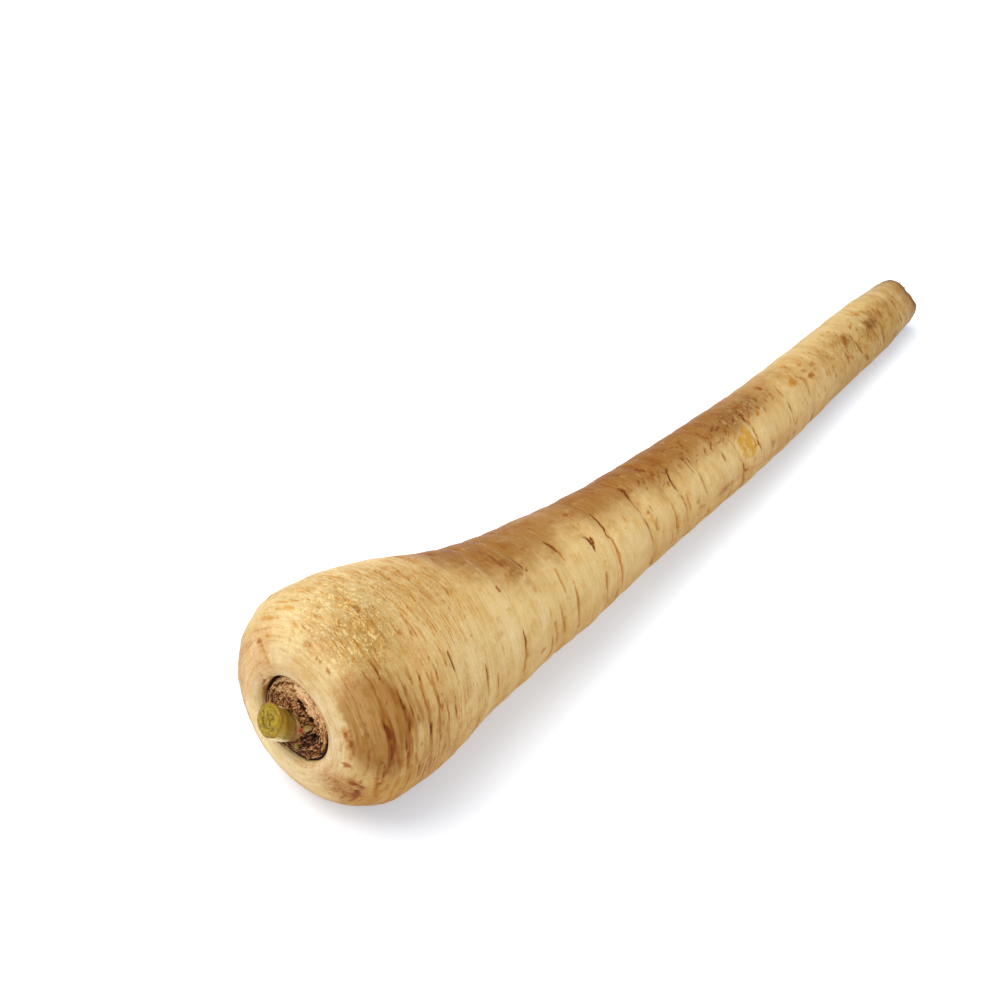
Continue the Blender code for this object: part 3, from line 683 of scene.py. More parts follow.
# Skin ---------------------------------------------------------------------------------------------
SEGMENTS = 272                  # round the head
FINE_END = 100.0                # past this station the skin has half as many points round it
LIP_ARC = 3.6                   # length of the lip's curve from its crest in to the rim
ROW_PITCH = 0.70                # mm between rows of points on plain skin
HEAD_PITCH = 0.42               # on the wrinkled head
CRACK_PITCH = 0.30              # along a crack
CRACK_REACH = 0.75              # how far to each side of a crack the rows are that close
HEAD_END = 46.0
FINE_STEP = 0.05                # mm, for summing the pitch along the root
WALL_ROWS, LIP_ROWS = 4, 9      # in the hollow and over the lip
TIP_SLANT = (50.0, 85.0, 1.8)   # of the broken end: where it is shortest, half angle, how much shorter
TIP_SLANT_FROM = 232.0
TIP_EDGE_ROWS = 5               # of points over the rounded edge of the broken end
TIP_FACE_ROWS = 11              # and on its face
FLOOR_PLACE = -8.0              # the "place" of the middle of the hollow's floor


def row_places():
    """Where each row of points lies along the profile, which below CREST runs over the lip, inward."""
    fine = np.arange(CREST, LENGTH - TIP_ROUNDING, FINE_STEP)
    pitch = np.where(fine < HEAD_END, HEAD_PITCH, ROW_PITCH)
    for kind, _, _, line in placed_marks():
        middle = np.median([s for s, _ in line])
        if kind == CRACK and middle > HEAD_END:
            pitch = np.where(np.abs(fine - middle) < CRACK_REACH, CRACK_PITCH, pitch)
    passed = np.concatenate([[0.0], np.cumsum(FINE_STEP / pitch[:-1])])
    count = int(passed[-1])
    rows = np.interp(np.linspace(0, passed[-1], count), passed, fine)
    wall = np.linspace(CREST - LIP_ARC - (HOLLOW_FLOOR - RIM_STATION), CREST - LIP_ARC, WALL_ROWS + 1)[:-1]
    lip = np.linspace(CREST - LIP_ARC, CREST, LIP_ROWS + 1)[:-1]
    return np.concatenate([wall, lip, rows])


def profile(place):
    """Station and radius of the plain form at each place along the profile."""
    inward = np.clip((CREST - place) / LIP_ARC, 0.0, 1.0) * 0.5 * np.pi
    crest_radius = float(skin_radius(CREST))
    deeper = np.maximum(CREST - LIP_ARC - place, 0.0)
    station = np.where(place < CREST, CREST + (RIM_STATION - CREST) * (1 - np.cos(inward)) + deeper, place)
    radius = np.where(place < CREST, crest_radius - (crest_radius - RIM_RADIUS) * np.sin(inward),
                      skin_radius(place))
    return station, radius


def cad_relief(place, angle):
    """The relief that the CAD skin has on this side."""
    wave = np.radians(angle)
    relief = OVALNESS * skin_radius(place) * np.sin(2 * wave + place / 45.0)
    draw = random.Random(7)
    for middle, crease_angle, span, depth in CREASES:
        along = bump(place - middle, CREASE_HALF_WIDTH)
        back_angle = draw.uniform(150, 300)
        back_depth = BACK_CREASE[0] * draw.uniform(0.5, 1.0)
        relief = relief - CREASE_SHARE * depth * along * bump(turn(angle, crease_angle), span)
        relief = relief - back_depth * along * bump(turn(angle, back_angle), BACK_CREASE[1])
    rings = [crease[0] for crease in CREASES]
    for start, end in zip(rings, rings[1:]):
        length = min(end - start, SWELL_LIMIT)
        share = np.clip((place - start) / (end - start), 0.0, 1.0)
        relief = relief + SWELL * (length / SWELL_LIMIT) * np.sin(np.pi * share)
    middle, scab_angle, half_length, half_angle, depth = SCAB
    relief = relief - depth * bump(place - middle, half_length) * bump(turn(angle, scab_angle), half_angle)
    return np.where(place < CREST, 0.0, relief)


def line_nearness(line, place, angle, radius):
    """How near each point is to a line on the skin, in mm, and how far along the line that is, 0 to 1."""
    nearest = np.full(place.shape, 1e3)
    share = np.zeros(place.shape)
    mm_per_degree = np.radians(1.0) * radius
    steps = list(zip(line, line[1:]))
    lengths = [math.hypot(s1 - s0, (a1 - a0) * math.radians(1.0) * float(skin_radius(max(s0, CREST))))
               for (s0, a0), (s1, a1) in steps]
    passed = 0.0
    for ((s0, a0), (s1, a1)), length in zip(steps, lengths):
        dx, dy = s1 - s0, (a1 - a0) * mm_per_degree
        px, py = place - s0, turn(angle, a0) * mm_per_degree
        t = np.clip((px * dx + py * dy) / (dx * dx + dy * dy), 0.0, 1.0)
        distance = np.hypot(px - t * dx, py - t * dy)
        closer = distance < nearest
        nearest = np.where(closer, distance, nearest)
        share = np.where(closer, (passed + t * length) / sum(lengths), share)
        passed += length
    return nearest, share


def patch_depth(corners, place, angle, radius):
    """How far inside a patch of the skin each point lies, in mm, and below 0 outside it."""
    outline = corners + corners[:1]
    away, _ = line_nearness(outline, place, angle, radius)
    middle = np.mean([a for _, a in corners])
    around = turn(angle, middle)
    inside = np.zeros(place.shape, bool)
    for (s0, a0), (s1, a1) in zip(outline, outline[1:]):
        a0, a1 = a0 - middle, a1 - middle
        if a0 == a1:
            continue
        crosses = (a0 > around) != (a1 > around)
        inside ^= crosses & (place < s0 + (around - a0) / (a1 - a0) * (s1 - s0))
    return np.where(inside, away, -away)


def top_shade_share(place, angle, ragged):
    """Painted shade along the top of the body, with a warm painted reflection in it, and its ragged lower
    edge.
    """
    ahead = angle - smooth(TOP_SHADE_EDGE, np.clip(place, TOP_SHADE_EDGE[0][0], TOP_SHADE_EDGE[-1][0]))
    depth = np.interp(place, *np.array(TOP_SHADE_DEPTH).T)
    behind = angle + 7.0 * ragged + 9.0 * np.sin(place / 9.0) * np.sin(place / 23.0 + 1.0)
    share = step_up(ahead + 4.5 * ragged, -21.0, 24.0) * (1 - step_up(behind, *TOP_SHADE_END))
    share *= np.interp(angle, *np.array(TOP_SHADE_BY_ANGLE).T)
    return depth * share * (angle < 180)


def skin_noise(grain, along, around, seed, octaves=1):
    """Noise on the skin with features about as long and as wide as given, in mm."""
    x, y, z = grain
    return noise(x / along, y / around, z / around, seed, octaves)


def band(x, start, full, fade, end):
    """0 before start, 1 from full to fade, 0 after end."""
    return step_up(x, start, full) * (1 - step_up(x, fade, end))


def skin_fields(place, angle, radius, grain):
    """The masks that the skin's material reads, and the fine relief, at each point."""
    fields = {kind: np.zeros(place.shape) for kind in KINDS}
    relief = np.zeros(place.shape)
    ragged = skin_noise(grain, 0.7, 1.2, 3, 2)
    uneven = skin_noise(grain, 3.0, 2.2, 4)
    swelling = skin_noise(grain, 3.0, 5.0, 8)
    strayed = place + (0.18 * skin_noise(grain, 40, 1.9, 5) + 0.08 * skin_noise(grain, 40, 0.7, 6))

    def deepen(kind, part, values):
        fields[kind][part] = np.maximum(fields[kind][part], values)

    def rows_near(station, reach):
        near = np.abs(place[:, 0] - station) < reach
        return np.ix_(near, np.arange(place.shape[1])), near.any()

    for kind, half_width, depth, line in placed_marks() + drawn_marks():
        middle = np.mean([s for s, _ in line])
        part, any_near = rows_near(middle, max(abs(s - middle) for s, _ in line) + 4 * half_width + 1.5)
        if not any_near:
            continue
        distance, share = line_nearness(line, strayed[part], angle[part], radius[part])
        taper = np.clip(4.2 * share * (1 - share), 0.0, 1.0) ** 0.4
        width = half_width * taper * np.clip(1 + 0.22 * ragged[part] + 0.70 * swelling[part], 0.3, 1.7)
        closeness = np.clip(1 - distance / np.maximum(1.15 * width, 1e-3), 0.0, 1.0)
        deepen(kind, part, closeness)
        edge = bump(distance - 1.5 * half_width, half_width) * taper
        relief[part] += depth * (-step_up(closeness, 0.0, 0.9) + 0.25 * edge)
        if kind == CRACK:
            halo = np.clip(1 - distance / (2.6 * half_width), 0.0, 1.0) * taper
            deepen(STREAK, part, 0.42 * halo)
    for kind, strength, depth, softness, *corners in PATCHES:
        inside = patch_depth(pairs(corners), place, angle, radius) + 0.45 * softness * (ragged + uneven)
        share = np.clip(0.3 + 0.7 * inside / softness, 0.0, 1.0)
        deepen(kind, ..., strength * share)
        relief -= depth * step_up(share, 0.1, 0.9)
    for kind, station, middle, half_length, half_width, strength, depth in SPOTS + drawn_spots():
        part, any_near = rows_near(station, 1.6 * half_length)
        if not any_near:
            continue
        across = turn(angle[part], middle) * np.radians(1.0) * radius[part]
        away = np.hypot((place[part] - station) / half_length, across / half_width)
        away *= 1 + 0.3 * ragged[part]
        closeness = np.clip(1 - away, 0.0, 1.0)
        deepen(kind, part, np.clip(strength * closeness * 1.6, 0, strength))
        relief[part] -= depth * step_up(closeness, 0.0, 0.6)
    for kind, station, middle, half_length, half_angle, strength in AREAS:
        share = bump(place - station, half_length) * bump(turn(angle, middle), half_angle)
        fields[kind] = np.clip(fields[kind] + strength * share, 0.0, 1.0)
    fields[TAN] *= step_up(strayed + 0.35 * ragged, 2.1, 3.2) + (place < CREST - 0.5)
    # the field stain holds painted shade, with a warm painted reflection, along the top of the body
    fields["stain"] = top_shade_share(place, angle, ragged + uneven)
    # painted highlight: paler skin along the top of the thin end's ridge and of the shoulder, and painted
    # light on the lower lip
    ridge = band(place, 194, 210, 226, 238)
    shoulder = 1.5 * step_up(place, 1, 6) * (1 - step_up(place, 18, 34))
    from_top = np.abs(turn(angle, 88)) + 5 * uneven
    fields["painted_light"] = (0.7 * ridge + shoulder) * (1 - step_up(from_top, 16, 50))
    fields["painted_light"] += 1.6 * (1 - step_up(place, 0.0, 4.0)) * bump(turn(angle, 215), 85)
    # the field under holds painted shade: the skin darker towards the underside, from the head on
    fields["under"] = (1 - step_up(np.abs(turn(angle, -90)) + 6 * uneven, 58, 128)) * step_up(place, 0, 7)
    # worn brown skin at the broken end, and its darker rim
    slant = TIP_SLANT[2] * bump(turn(angle, 40), 100)
    worn = step_up(place + 2.2 * (ragged + uneven) - slant, 239.5, 247.5)
    deepen(WEAR, ..., 0.85 * worn * (0.45 + 0.55 * bump(turn(angle, 30), 110)))
    fields["rim"] = step_up(place + 0.35 * ragged, LENGTH - 2.1, LENGTH - 1.1)
    return fields, relief


def skin_relief(place, angle, grain, fields):
    """Lumps, bands and wrinkles of the skin."""
    outside = step_up(place, CREST - 2.5, CREST + 2.0)
    head = outside * (1 - step_up(place, 34, 56))
    folds = 1 - np.abs(skin_noise(grain, 1.5, 7, 13, 2)) * 2
    scab = bump(place - 3.6, 4.5) * bump(turn(angle, -35), 18)
    low_bands = bump(place - 75, 40) * bump(turn(angle, -8), 38)      # scaly, low on the front
    relief = 0.20 * skin_noise(grain, 22, 16, 11, 2)
    relief += 0.08 * skin_noise(grain, 2.6, 15, 12, 2)
    relief += 0.085 * head * folds * (0.4 + fields[NET])
    relief += 0.018 * skin_noise(grain, 0.9, 1.3, 14)
    relief += 0.32 * fields[NET] * skin_noise(grain, 1.9, 3.0, 15, 2)
    relief += 0.12 * fields[SCAR] * skin_noise(grain, 0.8, 0.8, 16)
    relief += 0.35 * scab * skin_noise(grain, 1.1, 1.3, 17, 2)
    relief += 0.20 * step_up(place, 240, LENGTH) * skin_noise(grain, 2.2, 2.2, 18, 2)
    relief += 0.42 * low_bands * skin_noise(grain, 2.8, 9, 19, 2)
    return relief * (0.25 + 0.75 * outside)


def skin_wander(place, wave):
    """How far the rings of the skin stray along the axis."""
    fade = step_up(place, 1.5, 8.0) * (1 - step_up(place, 238, 247))
    slow = noise(place / 15, 1.6 * np.cos(wave), 1.6 * np.sin(wave), seed=1)
    fast = noise(place / 6, 5 * np.cos(wave), 5 * np.sin(wave), seed=2)
    return fade * (0.5 * slow + 0.16 * fast)


def end_slant(angle):
    """How much shorter the slanting broken end is at each angle."""
    middle, half_angle, most = TIP_SLANT
    return most * bump(turn(angle, middle), half_angle)


def skin_points(places, count):
    """Points, fields and grain of the rows at these places along the profile."""
    place, angle = polar_grid(places, count)
    wave = np.radians(angle)
    station, plain_radius = profile(place)
    grain = (place, plain_radius * np.cos(wave), plain_radius * np.sin(wave))
    station = station + skin_wander(place, wave) - end_slant(angle) * step_up(place, TIP_SLANT_FROM, LENGTH)
    radius = plain_radius + cad_relief(place, angle)
    end = step_up(place, 225, LENGTH - TIP_ROUNDING)
    radius *= 1 + end * (0.04 * np.sin(2 * wave + 0.6) + 0.03 * np.sin(5 * wave))
    points = ring_point(station, angle, radius, np.where(place < CREST, 1.0, head_lean(place)))
    fields, marks = skin_fields(place, angle, plain_radius, grain)
    relief = marks + skin_relief(place, angle, grain, fields)
    fields = {**fields, "grain": np.stack(grain, -1), "place": place}
    return points + grid_normals(points) * relief[..., None], fields


def end_points(edge_points, centre, forward):
    """Rows of the broken end: the rounded edge, then a rough hollow face, and its middle point."""
    arms = edge_points - centre
    tilt = arms @ forward
    arms -= tilt[:, None] * forward
    reach = np.linalg.norm(arms, axis=1, keepdims=True)
    rows = []
    for share in np.linspace(0.2, 1.0, TIP_EDGE_ROWS):
        inward = 0.5 * math.pi * share
        ahead, inset = TIP_ROUNDING * math.sin(inward), TIP_ROUNDING * (1 - math.cos(inward))
        rows.append(centre + forward * (ahead + tilt)[:, None] + arms * (1 - inset / reach))
    for share in np.linspace(0.88, 0.0, TIP_FACE_ROWS)[:-1]:
        spot = centre + arms * share * (1 - inset / reach)
        torn = noise(spot[:, 0] / 3, spot[:, 1] / 1.6, spot[:, 2] / 1.6, seed=31, octaves=3)
        sunk = ahead - TIP_HOLLOW * step_up(1 - share, 0.0, 0.5) + 0.28 * torn * step_up(1 - share, 0, 0.2)
        slant = tilt * share + tilt.mean() * (1 - share)
        rows.append(spot + forward * (sunk + slant)[:, None])
    return rows, centre + forward * (ahead - TIP_HOLLOW + tilt.mean())


def skin_mesh():
    """The whole skin as points, faces and fields."""
    places = row_places()
    head = places[places <= FINE_END]
    tail = places[places > FINE_END]
    half = SEGMENTS // 2
    parts = [skin_points(rows, count) for rows, count in ((head, SEGMENTS), (tail, half))]
    points = np.concatenate([part[0].reshape(-1, 3) for part in parts])
    fields = {key: np.concatenate([part[1][key].reshape(-1, *value.shape[2:]) for part in parts])
              for key, value in parts[0][1].items()}
    faces = grid_faces(len(head), SEGMENTS).tolist()
    join = (len(head) - 1) * SEGMENTS
    tail_first = len(head) * SEGMENTS
    for k in range(half):
        a0, a1, a2 = join + 2 * k, join + 2 * k + 1, join + (2 * k + 2) % SEGMENTS
        b0, b1 = tail_first + k, tail_first + (k + 1) % half
        faces += [(a0, a1, b0), (a1, b1, b0), (a1, a2, b1)]
    faces += grid_faces(len(tail), half, tail_first).tolist()

    centre, forward, front, up = axis_frame(LENGTH - TIP_ROUNDING)
    end_rows, middle = end_points(points[-half:], centre, forward)
    first = len(points)
    points = np.concatenate([points, np.concatenate(end_rows), [middle]])
    added = len(points) - first
    faces += grid_faces(len(end_rows) + 1, half, first - half).tolist()
    faces += fan(first + (len(end_rows) - 1) * half, half, first + added - 1)
    new_grain = points[first:] - centre
    new_values = {"place": np.full(added, LENGTH), WEAR: np.full(added, 0.9), "rim": np.zeros(added),
                  "grain": np.stack([new_grain @ forward + LENGTH, new_grain @ front, new_grain @ up], -1)}
    new_values["rim"][:TIP_EDGE_ROWS * half] = 0.8

    # the floor of the hollow, under the crown
    faces += fan(0, SEGMENTS, len(points), inward=True)
    points = np.concatenate([points, [ring_point(HOLLOW_FLOOR, 0.0, 0.0, 1.0)]])
    floor_values = {"place": FLOOR_PLACE, "grain": np.zeros(3)}
    for key, value in fields.items():
        end_value, floor_value = new_values.get(key, np.zeros(added)), floor_values.get(key, 0.0)
        fields[key] = np.concatenate([value, end_value, [floor_value]])
    points[:, 2] = np.maximum(points[:, 2], 0.0)
    return points, faces, fields


# Crown --------------------------------------------------------------------------------------------
CROWN_ROWS = 112
CROWN_SEGMENTS = 300
# Places on the crown are (front, up) in mm from its middle. Torn hollows: half width, depth, line.
HOLLOWS = [
    (1.15, 1.25, [(-1.2, 3.1), (0.8, 1.6), (3.0, 0.4)]),
    (1.05, 1.05, [(4.0, -3.6), (5.8, -1.9), (8.0, -2.2)]),
    (0.60, 0.45, [(-8.4, 3.4), (-6.4, 5.6), (-3.0, 7.4), (0.2, 7.0)]),
    (0.50, 0.50, [(4.6, 3.0), (5.2, 0.8), (6.8, 0.2)]),
    (0.45, 0.45, [(1.6, -5.4), (3.6, -6.6), (5.6, -6.6)]),
    (0.40, 0.40, [(-4.4, 5.4), (-2.0, 5.6), (0.0, 4.6)]),
]
PLATE = (1.45, [(-0.6, 7.9), (1.8, 7.3), (3.7, 5.0), (4.4, 3.4)])     # smooth old sheath: half width, line
CRESCENT = (142.0, 62.0, 0.85, 0.55)          # the gap by the rim: angle, half angle, half width, depth
EDGE_LIFT = 1.15                              # how much higher the cork's edge stands elsewhere
FIBRES = (-2.9, 1.6, 3.4)                     # short pale fibres: their middle and reach


def away_from(line, front, up):
    """Distance of each point of the crown or the cut from a line."""
    away = np.full(np.shape(front), 99.0)
    for (x0, y0), (x1, y1) in zip(line, line[1:]):
        dx, dy = x1 - x0, y1 - y0
        t = np.clip(((front - x0) * dx + (up - y0) * dy) / (dx * dx + dy * dy), 0.0, 1.0)
        away = np.minimum(away, np.hypot(front - x0 - t * dx, up - y0 - t * dy))
    return away


def crown_height(radius, angle):
    """How far the cork stands above its edge, and how light and how sunken each point is."""
    wave = np.radians(angle)
    inside = 1 - (radius / CROWN_RADIUS) ** 2
    drift = RIDGE_DRIFT * np.sin(2 * wave + 1.0) + 0.4 * RIDGE_DRIFT * np.sin(5 * wave)
    drifted = radius + inside * drift
    pitch = (CROWN_RADIUS - CORE_RADIUS) / RIDGE_COUNT
    front, up = drifted * np.cos(wave), drifted * np.sin(wave)
    torn = noise(front / 1.6, up / 1.6, 0.5, seed=41, octaves=3)
    share = ((CROWN_RADIUS - radius) / pitch + 0.26 * torn) % 1.0
    ridge = np.interp(share, [0, 0.15, 0.7, 0.8, 1.0], [0.0, 0.35, 1.0, 0.95, 0.0])
    ridge *= np.clip(0.62 + 0.75 * noise(front / 1.8, up / 1.8, 2.5, seed=42, octaves=2), 0.1, 1.15)
    core = step_up(radius, CORE_RADIUS * 0.7, CORE_RADIUS)
    ridge = core * ridge + (1 - core) * 0.4
    fine = noise(front / 0.34, up / 0.34, 1.5, seed=43, octaves=2)
    crack, crumb = cells(radius / 0.62 + 0.5 * torn, front / 1.25 + 0.3 * fine, up / 1.25, 45)
    grit_crack, grit = cells(front / 0.42, up / 0.42, radius / 0.5, 57)
    plate_width, plate_line = PLATE
    plate = step_up(-away_from(plate_line, front, up) - 0.35 * torn, -plate_width, -0.55 * plate_width)
    rough = 1 - 0.8 * plate
    crumbs = 0.26 * crumb - 0.42 * crack + 0.12 * grit - 0.14 * grit_crack
    height = 0.75 * RIDGE_HEIGHT * ridge * rough + rough * crumbs + 0.10 * fine * rough + 0.55 * plate
    across, rise, collar_radius, half_width, collar_height = COLLAR
    collar = bump(np.hypot(front + across, up - rise) - collar_radius, half_width)
    height = np.maximum(height, collar_height * collar * (0.80 + 0.22 * crumb - 0.25 * crack))
    sunk = np.zeros(np.shape(height))
    for pit_width, depth, line in HOLLOWS:
        sunk = sunk + depth * bump(away_from(line, front, up) - 0.25 * torn, pit_width)
    middle, half_angle, half_width, depth = CRESCENT
    gap = bump(radius - CROWN_RADIUS, half_width) * bump(turn(angle, middle), half_angle)
    edge = step_up(radius, 4.5, 8.5) * (1 - bump(turn(angle, middle), half_angle + 25))
    tone = 0.72 + 0.20 * crumb + 0.22 * (ridge - 0.5) + 0.15 * grit - 0.42 * crack - 0.20 * grit_crack
    # painted shade: darker in the torn hollows and in the gap by the rim
    tone = tone * rough + 0.66 * plate - 0.95 * np.minimum(sunk, 1.2) - 0.9 * gap
    tone += 0.37 * step_up(up, 0.0, 6.0)
    # painted shade along the cork's edge, next to the rim
    tone -= 0.50 * step_up(radius + 0.2 * torn, CROWN_RADIUS - 0.40, CROWN_RADIUS)
    tone -= 0.14 * step_up(-up, 1.0, 5.0)
    height = height - sunk - depth * gap + EDGE_LIFT * edge
    return drifted, height, np.clip(tone, 0.0, 1.0), sunk + gap, plate


def crown_point(radius, angle):
    drifted, height, tone, sunk, plate = crown_height(radius, angle)
    station = CROWN_EDGE + CROWN_FUNNEL * (1 - drifted / CROWN_RADIUS) - height
    sine = np.sqrt(1 - np.clip((RIM_STATION - station) / (RIM_STATION - CREST), 0.0, 1.0) ** 2)
    near_rim = step_up(radius, CROWN_RADIUS - 1.5, CROWN_RADIUS)
    spread = (float(skin_radius(CREST)) - RIM_RADIUS) * (1 - sine) * near_rim
    spot = ring_point(np.minimum(station, CROWN_BASE - 0.6), angle, drifted + spread, np.ones_like(radius))
    return spot, tone, sunk, plate


def crown_mesh():
    radius, angle = polar_grid(np.linspace(CROWN_RADIUS, 0.12, CROWN_ROWS), CROWN_SEGMENTS)
    top, tone, _, plate = crown_point(radius, angle)
    count = CROWN_SEGMENTS
    base = ring_point(np.full(count, CROWN_BASE), angle[0], np.full(count, CROWN_RADIUS), 1.0)
    tip = (CROWN_ROWS + 1) * count
    points = np.concatenate([base, top.reshape(-1, 3), [top[-1].mean(axis=0)],
                             [ring_point(CROWN_BASE, 0.0, 0.0, 1.0)]])
    faces = grid_faces(CROWN_ROWS + 1, count).tolist()
    faces += fan(tip - count, count, tip) + fan(0, count, tip + 1, inward=True)
    wave = np.radians(angle)
    grain = np.stack([radius, radius * np.cos(wave), radius * np.sin(wave)], -1).reshape(-1, 3)
    dark = np.zeros(count)
    return points, faces, {"tone": np.concatenate([dark, tone.ravel(), [0.5, 0.0]]),
                           "plate": np.concatenate([dark, plate.ravel(), [0.0, 0.0]]),
                           "grain": np.concatenate([grain[:count], grain, np.zeros((2, 3))])}


def ribbon(points, widths, thickness, flat, faces, verts):
    """Adds a closed tapering strip along the points: flat gives the direction of its width."""
    first = len(verts)
    for point, width in zip(points, widths):
        along = unit(points[-1] - points[0])
        side = unit(np.cross(along, flat))
        over = unit(np.cross(side, along))
        for a, b in ((1, 1), (-1, 1), (-1, -1), (1, -1)):
            verts.append(point + side * a * width / 2 + over * b * thickness / 2)
    count = len(points)
    for i in range(count - 1):
        for k in range(4):
            a, b = first + 4 * i + k, first + 4 * i + (k + 1) % 4
            faces.append((a, a + 4, b + 4, b))
    faces.append((first + 3, first + 2, first + 1, first)[::-1])
    end = first + 4 * (count - 1)
    faces.append((end, end + 1, end + 2, end + 3)[::-1])


FLAKE_COUNT = 230
FIBRE_COUNT = 80
# Strips of old sheath standing by the rim, as (front, up) places: start, end, width.
STRIPS = [((-10.1, 1.3), (-9.9, -2.2), 0.45), ((-9.2, 1.9), (-9.0, -1.4), 0.40),
          ((-5.6, -8.0), (-2.2, -9.3), 0.55), ((-3.0, -8.3), (0.6, -9.2), 0.50),
          ((2.6, 7.9), (5.2, 5.6), 0.35), ((-7.6, 2.6), (-5.2, 4.6), 0.35)]


def crown_spot(front, up):
    """The point of the cork at a place, and how sunken it is."""
    angle = math.degrees(math.atan2(up, front))
    spot, _, sunk, _ = crown_point(np.array([math.hypot(front, up)]), np.array([angle]))
    return spot[0], sunk[0]


def flakes_mesh():
    """Papery shreds of the old sheaths, standing off the ridges of the cork."""
    draw = random.Random(12)
    verts, faces, tones = [], [], []
    pitch = (CROWN_RADIUS - CORE_RADIUS) / RIDGE_COUNT
    _, forward, front, up = axis_frame(CROWN_EDGE)

    def shred(start, way, outward, length, rise, width, tone, count=5, lift=0.12):
        line = []
        for i in range(count):
            t = i / (count - 1)
            along = way * t * length + outward * (draw.uniform(-0.06, 0.06) - 0.10 * length * t * t)
            standing = forward * rise * math.sin(0.5 * math.pi * t) * length
            line.append(start - forward * lift + along - standing)
        widths = [width * (1 - 0.75 * (i / (count - 1)) ** 1.5) for i in range(count)]
        before = len(verts)
        flat = unit(outward * draw.uniform(0.2, 1.0) - forward * draw.uniform(0.3, 1.0))
        ribbon(line, widths, 0.07, flat, faces, verts)
        tones.extend([tone] * (len(verts) - before))

    made = 0
    while made < FLAKE_COUNT:
        ridge = draw.randrange(RIDGE_COUNT)
        radius = CROWN_RADIUS - (ridge + 0.7 + draw.uniform(-0.3, 0.1)) * pitch
        angle = draw.uniform(0, 360)
        wave = math.radians(angle)
        start, sunk = crown_spot(radius * math.cos(wave), radius * math.sin(wave))
        if sunk > 0.3 and draw.random() < 0.85:
            continue
        made += 1
        outward = spoke(wave, front, up)
        tangent = -math.sin(wave) * front + math.cos(wave) * up
        way = tangent if draw.random() < 0.5 else -tangent
        shred(start + forward * 0.2, way, outward, draw.uniform(0.5, 1.7), draw.uniform(0.05, 0.35),
              draw.uniform(0.16, 0.42), draw.uniform(0.1, 0.9))
    fibre_front, fibre_up, reach = FIBRES
    for _ in range(FIBRE_COUNT):
        across = fibre_front + draw.uniform(-1, 1) * reach
        rise = fibre_up + draw.uniform(-1, 1) * reach * 0.7
        start, _ = crown_spot(across, rise)
        wave = math.atan2(rise - COLLAR[1], across + COLLAR[0]) + draw.uniform(-0.5, 0.5)
        outward = spoke(wave, front, up)
        shred(start + forward * 0.15, outward, outward, draw.uniform(0.5, 1.3), draw.uniform(0.1, 0.5),
              draw.uniform(0.12, 0.26), draw.uniform(0.5, 1.0))
    for (front0, up0), (front1, up1), width in STRIPS:
        start, _ = crown_spot(front0, up0)
        end, _ = crown_spot(front1, up1)
        wave = math.atan2(up0 + up1, front0 + front1)
        outward = spoke(wave, front, up)
        length = float(np.linalg.norm(end - start))
        shred(start, (end - start) / length, outward, length, 0.02, width, draw.uniform(0.75, 1.0), 9, 0.25)
    return np.array(verts), faces, {"tone": np.array(tones)}


# Leaf stalk ---------------------------------------------------------------------------------------
STALK_STEPS = 56
STALK_SEGMENTS = 128
FACE_STEPS = 40
STALK_GRAIN = (8.0, 3.7)        # the stalk's length and radius in the coordinates of its material
# Lines of the cut face, in shares of its radius: half width, depth, and (right, up) points.
FACE_LINES = [
    (0.050, 0.16, [(0.26, 0.22), (0.10, 0.02), (0.22, -0.22)]),
    (0.050, 0.12, [(-0.22, 0.26), (0.06, 0.44), (0.38, 0.28)]),
    (0.050, 0.12, [(-0.46, -0.08), (-0.32, -0.38), (0.14, -0.50), (0.60, -0.28)]),
    (0.060, 0.12, [(-0.66, 0.32), (-0.54, 0.12)]),
    (0.040, 0.09, [(0.58, 0.56), (0.86, 0.10), (0.80, -0.42)]),
    (0.040, 0.09, [(-0.30, 0.66), (0.10, 0.76), (0.50, 0.60)]),
    (0.040, 0.08, [(-0.80, 0.10), (-0.72, -0.40), (-0.40, -0.72)]),
    (0.040, 0.08, [(-0.10, -0.20), (-0.14, 0.06), (0.00, 0.20)]),
    (0.035, 0.07, [(-0.30, -0.76), (0.10, -0.84), (0.50, -0.66), (0.78, -0.30)]),
]
PEELED = (222.0, 30.0)          # the pale peeled strip low on the stalk: angle and half angle
BUD_GRID = (22, 32)             # rows, and points in each
SHEATH_GRID = (90, 15)          # rows, and points across each side
SHEATH_REACH = (0.02, 0.86)     # shares of the stalk
SHEATH_DEPTH = 0.35             # how far its inner side lies under the stalk's skin


def stalk_point(share):
    start, middle, end = [on_root(*place) for place in STALK_PATH]
    share = np.asarray(share, float)[..., None]
    return (1 - share) ** 2 * start + 2 * share * (1 - share) * middle + share ** 2 * end


def stalk_frame(share):
    """Ahead, side and up directions of the stalk's section."""
    ahead = unit(stalk_point(share + 0.01) - stalk_point(share - 0.01))
    side = unit(np.cross(ahead, np.array([0.0, 0.0, 1.0])))
    return ahead, side, np.cross(side, ahead)


def face_marks(right, up):
    """Depth of the lines on the cut face and how near each point is to one of them."""
    depth = np.zeros(right.shape)
    near = np.zeros(right.shape)
    stray = 0.07 * noise(right * 4, up * 4, 0.0, seed=52, octaves=2)
    for half_width, line_depth, line in FACE_LINES:
        closeness = np.clip(1 - away_from(line, right + stray, up - stray) / (2 * half_width), 0.0, 1.0)
        depth = np.maximum(depth, line_depth * step_up(closeness, 0.0, 1.0))
        near = np.maximum(near, closeness * line_depth / 0.14)
    return depth, near


def stalk_radius(share):
    return STALK_RADII[0] + (STALK_RADII[1] - STALK_RADII[0]) * share


